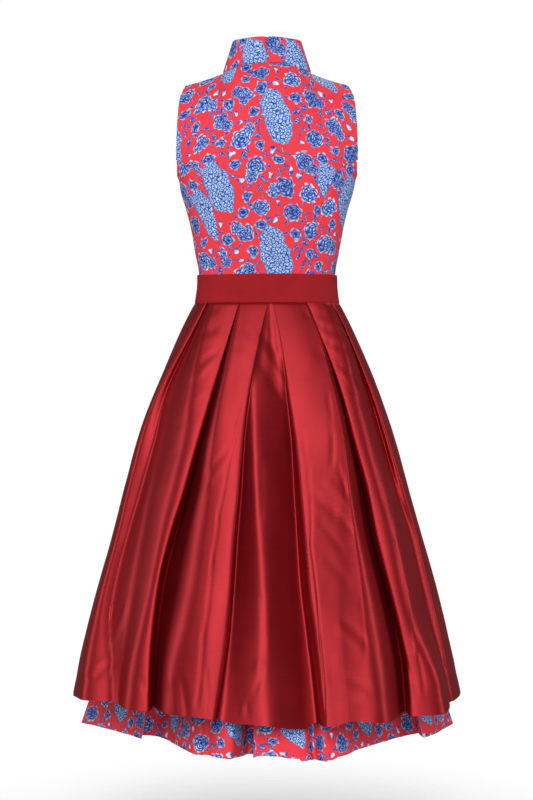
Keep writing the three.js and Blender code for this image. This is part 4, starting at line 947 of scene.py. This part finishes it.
def overskirt():
    rows = 104
    t = np.linspace(0, 1, rows) ** 1.06
    z = lerp(OVER_TOP, OVER_HEM, t)
    all_turns = [turns(v) for v in z]
    names = ["seam", *LINES, "seam", *LINES]
    spans = np.array([np.linalg.norm(np.roll(p[:, :2], -1, 0) - p[:, :2], axis=1) for p in all_turns]).max(0)
    between = np.maximum(1, np.ceil(spans / STEP).astype(int) - 1)
    grid = [ring_of(p, between) for p in all_turns]
    face = np.concatenate([np.full(TURN + between[k], FACE_OF.get(n, 6 if k else 0)) for k, n in enumerate(names)])
    starts = np.concatenate([[0], np.cumsum(TURN + between)])
    left, right = starts[0] + TURN // 2, starts[len(LINES) + 1] + TURN // 2
    g = np.concatenate([np.stack(grid), np.broadcast_to(z[:, None, None], (rows, len(face), 1))], 2)[::-1]
    t = t[::-1, None]
    for k in range(10):  # ease the turns as they fall
        soft = smooth((t - 0.04) / 0.3)[..., None]
        g = g + 0.5 * soft * ((np.roll(g, 1, 1) + np.roll(g, -1, 1)) / 2 - g)
        g[1:-1] += 0.35 * ((g[2:] + g[:-2]) / 2 - g[1:-1])
    # a narrow ledge at the top closes the pleats to the band's outline
    deep = np.where(g[-1, :, 1] < 0, read(BAND, "z", "back", BAND_BOTTOM), read(BAND, "z", "front", BAND_BOTTOM))
    r = ((np.abs(g[-1, :, 0]) / read(BAND, "z", "half", BAND_BOTTOM)) ** SQUARE + (np.abs(g[-1, :, 1]) / deep) ** SQUARE) ** (1 / SQUARE)
    ledge = g[-1:] * 1.0
    ledge[0, :, :2] *= (np.minimum(r, 0.985) / r)[:, None]
    g[-1, :, 2] -= 0.9
    g, t = np.concatenate([g, ledge]), np.append(t, [[0]], 0)
    n = normals(g, True)
    if (n * g * [1, 1, 0]).sum() < 0:
        n = -n
    a = np.degrees(np.arctan2(g[..., 0] / 1.0, -g[..., 1] / 0.9))
    facing = smooth((np.abs(n[..., 1]) - 0.05) / 0.3)
    x = np.where(g[..., 1] < 0, g[..., 0], -g[..., 0])  # the front creases like the back, turned about
    d = np.zeros_like(x)
    for f, x0, z0, x1, z1, wide, out in zip(*[CREASES[k] for k in ("face", "x0", "z0", "x1", "z1", "wide", "out")]):
        l = math.hypot(x1 - x0, z1 - z0)
        ux, uz = (x1 - x0) / l, (z1 - z0) / l
        along = (x - x0) * ux + (g[..., 2] - z0) * uz
        off = -(x - x0) * uz + (g[..., 2] - z0) * ux + 0.06 * along * (along - l) / l
        past = np.maximum(0, np.maximum(-along, along - l))
        d += out * np.exp(-((off / wide) ** 2) - (past / (2 + 1.2 * wide)) ** 2) * (face == f)
    wave = CRUMPLE[0](g) * 0.14 * smooth(t / 0.12) + CRUMPLE[1](g) * 0.5 * smooth(t / 0.3) + CRUMPLE[2](g) * 1.1 * smooth(t / 0.5)
    g = g + n * (d * facing + wave)[..., None]
    g[..., 2] += read(HEM_LIFT, "a", "up", a) * smooth((t - 0.55) / 0.45)
    n = normals(g, True)
    if (n * g * [1, 1, 0]).sum() < 0:
        n = -n
    # the hem is turned up: a slight step where the turning ends
    drop = (1 - t) * 717
    g = g - n * (0.35 * smooth((drop - 24) / 3) * smooth((60 - drop) / 30))[..., None]
    outer, inner = g + n * 0.28, g - n * 0.28
    cols = g.shape[1]
    for name, idx in (("overskirt_back", np.arange(left, right + 1)), ("overskirt_front", np.arange(right, cols + left + 1) % cols)):
        sub = g[:, idx]
        uv = flat_map(sub, len(idx) // 2, 0, (0, 0))
        uv[..., 0] = (run_of(sub, 1).mean(0) * MM)[None, :]
        ob = shell(name + "_cloth", outer[:, idx], inner[:, idx], uv, TAFFETA, TAFFETA, node="overskirt", sharp=55)
        w, l = float(run_of(sub, 1)[0, -1]), float(run_of(sub, 0)[-1].mean())


overskirt()

# ------------------------------------------------------------------ underskirt
UNDER = table(
    "z half deep",
    (-386, 124.5, 0.69), (-413, 123, 0.68), (-450, 134, 0.69), (-535, 163, 0.71), (-645, 192, 0.71), (-775, 224, 0.735), (-922, 260, 0.775),
    (-1050, 298, 0.82), (-1130, 327, 0.86), (-1187, 345.5, 0.92),
)
# Where the hem turns, from the side seam on -X round the back to the one on +X: x, y, how round, and how far the hem lifts there.
HEM_TURNS = table(
    "x y round up",
    (-319, -24, 14, 0), (-278, -76, 20, 0), (-246, -117, 14, 0), (-222, -154, 2.5, 0), (-230, -118, 4, 0), (-212, -122, 8, 0), (-194, -131, 14, 0),
    (-176, -164, 16, 0), (-158, -210, 16, 0), (-137, -262, 14, 0), (-121, -294, 8, 0), (-104, -281, 10, -2), (-82, -311, 14, -2), (-60, -316, 8, -3),
    (-33, -240, 6, -9), (-19, -246, 3, -8), (-24.5, -311, 2.5, -1), (-8, -305, 8, 1), (14, -306, 12, 0), (44, -315, 12, -2), (68, -316, 10, -6), (81, -285, 7, -9),
    (96, -315, 10, -7), (108, -314, 12, -5), (130, -292, 16, -2), (160, -243, 18, 0), (193, -196, 18, 0), (226, -150, 16, 0), (252, -119, 10, 0),
    (272, -101, 4, 0), (277, -143, 2.5, 0), (292, -125, 8, 0), (321, -62, 16, 0),
)


def under_turns(z):
    t = (-386 - z) / 801
    half = float(read(UNDER, "z", "half", z))
    deep, e, e1 = half * float(read(UNDER, "z", "deep", z)), 2 / lerp(2.2, 2, float(smooth(t * 4))), 345.5
    grow = float(smooth((t - 0.12) / 0.88)) ** 1.2
    a = np.arcsin(np.clip(HEM_TURNS["x"] / e1, -1, 1))
    home = np.stack([half * spow(np.sin(a), e), -deep * spow(np.cos(a), e)], 1)
    away = np.stack([HEM_TURNS["x"] - e1 * np.sin(a), HEM_TURNS["y"] + 318 * np.cos(a)], 1)
    q = home + away * grow
    r = HEM_TURNS["round"] * lerp(1.5, 1, grow)
    fuller = 1 + 11 * (1 - float(smooth(t * 3))) / deep
    back, front = np.column_stack([q, r]), np.column_stack([-q[:, 0], -q[:, 1] * fuller, r])
    seam = lerp(25, 7, grow)
    return np.concatenate([[(-half, 0, seam)], back, [(half, 0, seam)], front])


def underskirt():
    rows = 54
    z = lerp(-1187, -386.2, np.linspace(0, 1, rows) ** 1.6)
    all_turns = [under_turns(v) for v in z]
    spans = np.linalg.norm(np.roll(all_turns[0][:, :2], -1, 0) - all_turns[0][:, :2], axis=1)
    between = np.maximum(2, np.ceil(spans / 6.0).astype(int) - 1)
    g = np.stack([ring_of(p, between) for p in all_turns])
    g = np.concatenate([g, np.broadcast_to(z[:, None, None], (*g.shape[:2], 1))], 2)
    t = ((-386 - z) / 801)[:, None]
    for k in range(3):
        g[1:] = g[1:] + 0.5 * ((np.roll(g[1:], 1, 1) + np.roll(g[1:], -1, 1)) / 2 - g[1:])
    up = np.concatenate([[0], HEM_TURNS["up"], [0], HEM_TURNS["up"]])
    lift = np.concatenate([np.append(np.full(TURN, up[k]), lerp(up[k], up[(k + 1) % len(up)], (np.arange(b) + 1) / (b + 1))) for k, b in enumerate(between)])
    g[..., 2] += lift * smooth((t - 0.8) / 0.2)
    n = normals(g, True)
    if (n * g * [1, 1, 0]).sum() < 0:
        n = -n
    g = g + n * (Waves(41, 60, 18, (1, 1, 0.3))(g) * 0.5 * smooth((t - 0.2) / 0.7))[..., None]
    n = normals(g, True)
    if (n * g * [1, 1, 0]).sum() < 0:
        n = -n
    inner = g - n * 0.8
    hem = run_of(np.append(g, g[:, :1], 1), 1)[0]
    up = run_of(g, 0).mean(1)[:, None]
    uv = np.stack(np.broadcast_arrays(hem[None, :] + 55, np.repeat(up, len(hem), 1) + 120), -1) * MM
    ob = shell("underskirt_cloth", g, inner, uv, PRINT, PRINT_BACK, loop=True, node="underskirt_back")
    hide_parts("underskirt_front")
    w, l = float(hem[-1]), float(run_of(g, 0)[-1].mean())


underskirt()

# ------------------------------------------------------------------ floor
floor_mat = bpy.data.materials.new("studio_floor")
nf = Nodes(floor_mat)
spot = nf.new("ShaderNodeTexCoord").outputs["Object"]
fade = nf.step(nf.vec("LENGTH", spot), -0.1, 0.8)
matt, clear, blend, floor_out = (nf.new(k) for k in ("ShaderNodeBsdfDiffuse", "ShaderNodeBsdfTransparent", "ShaderNodeMixShader", "ShaderNodeOutputMaterial"))
nf.put(matt.inputs["Color"], nf.ramp(nf.noise(spot, 3.0, 3.0).outputs[0], [(0.3, (0.90, 0.90, 0.90)), (0.7, (0.93, 0.93, 0.93))]))
nf.put(blend.inputs[0], fade)
nf.tree.links.new(matt.outputs[0], blend.inputs[1])
nf.tree.links.new(clear.outputs[0], blend.inputs[2])
nf.tree.links.new(blend.outputs[0], floor_out.inputs[0])
bpy.ops.mesh.primitive_plane_add(size=5, location=(0, 0, -1.40))
floor = bpy.context.object
floor.name = "floor"
floor.data.materials.append(floor_mat)
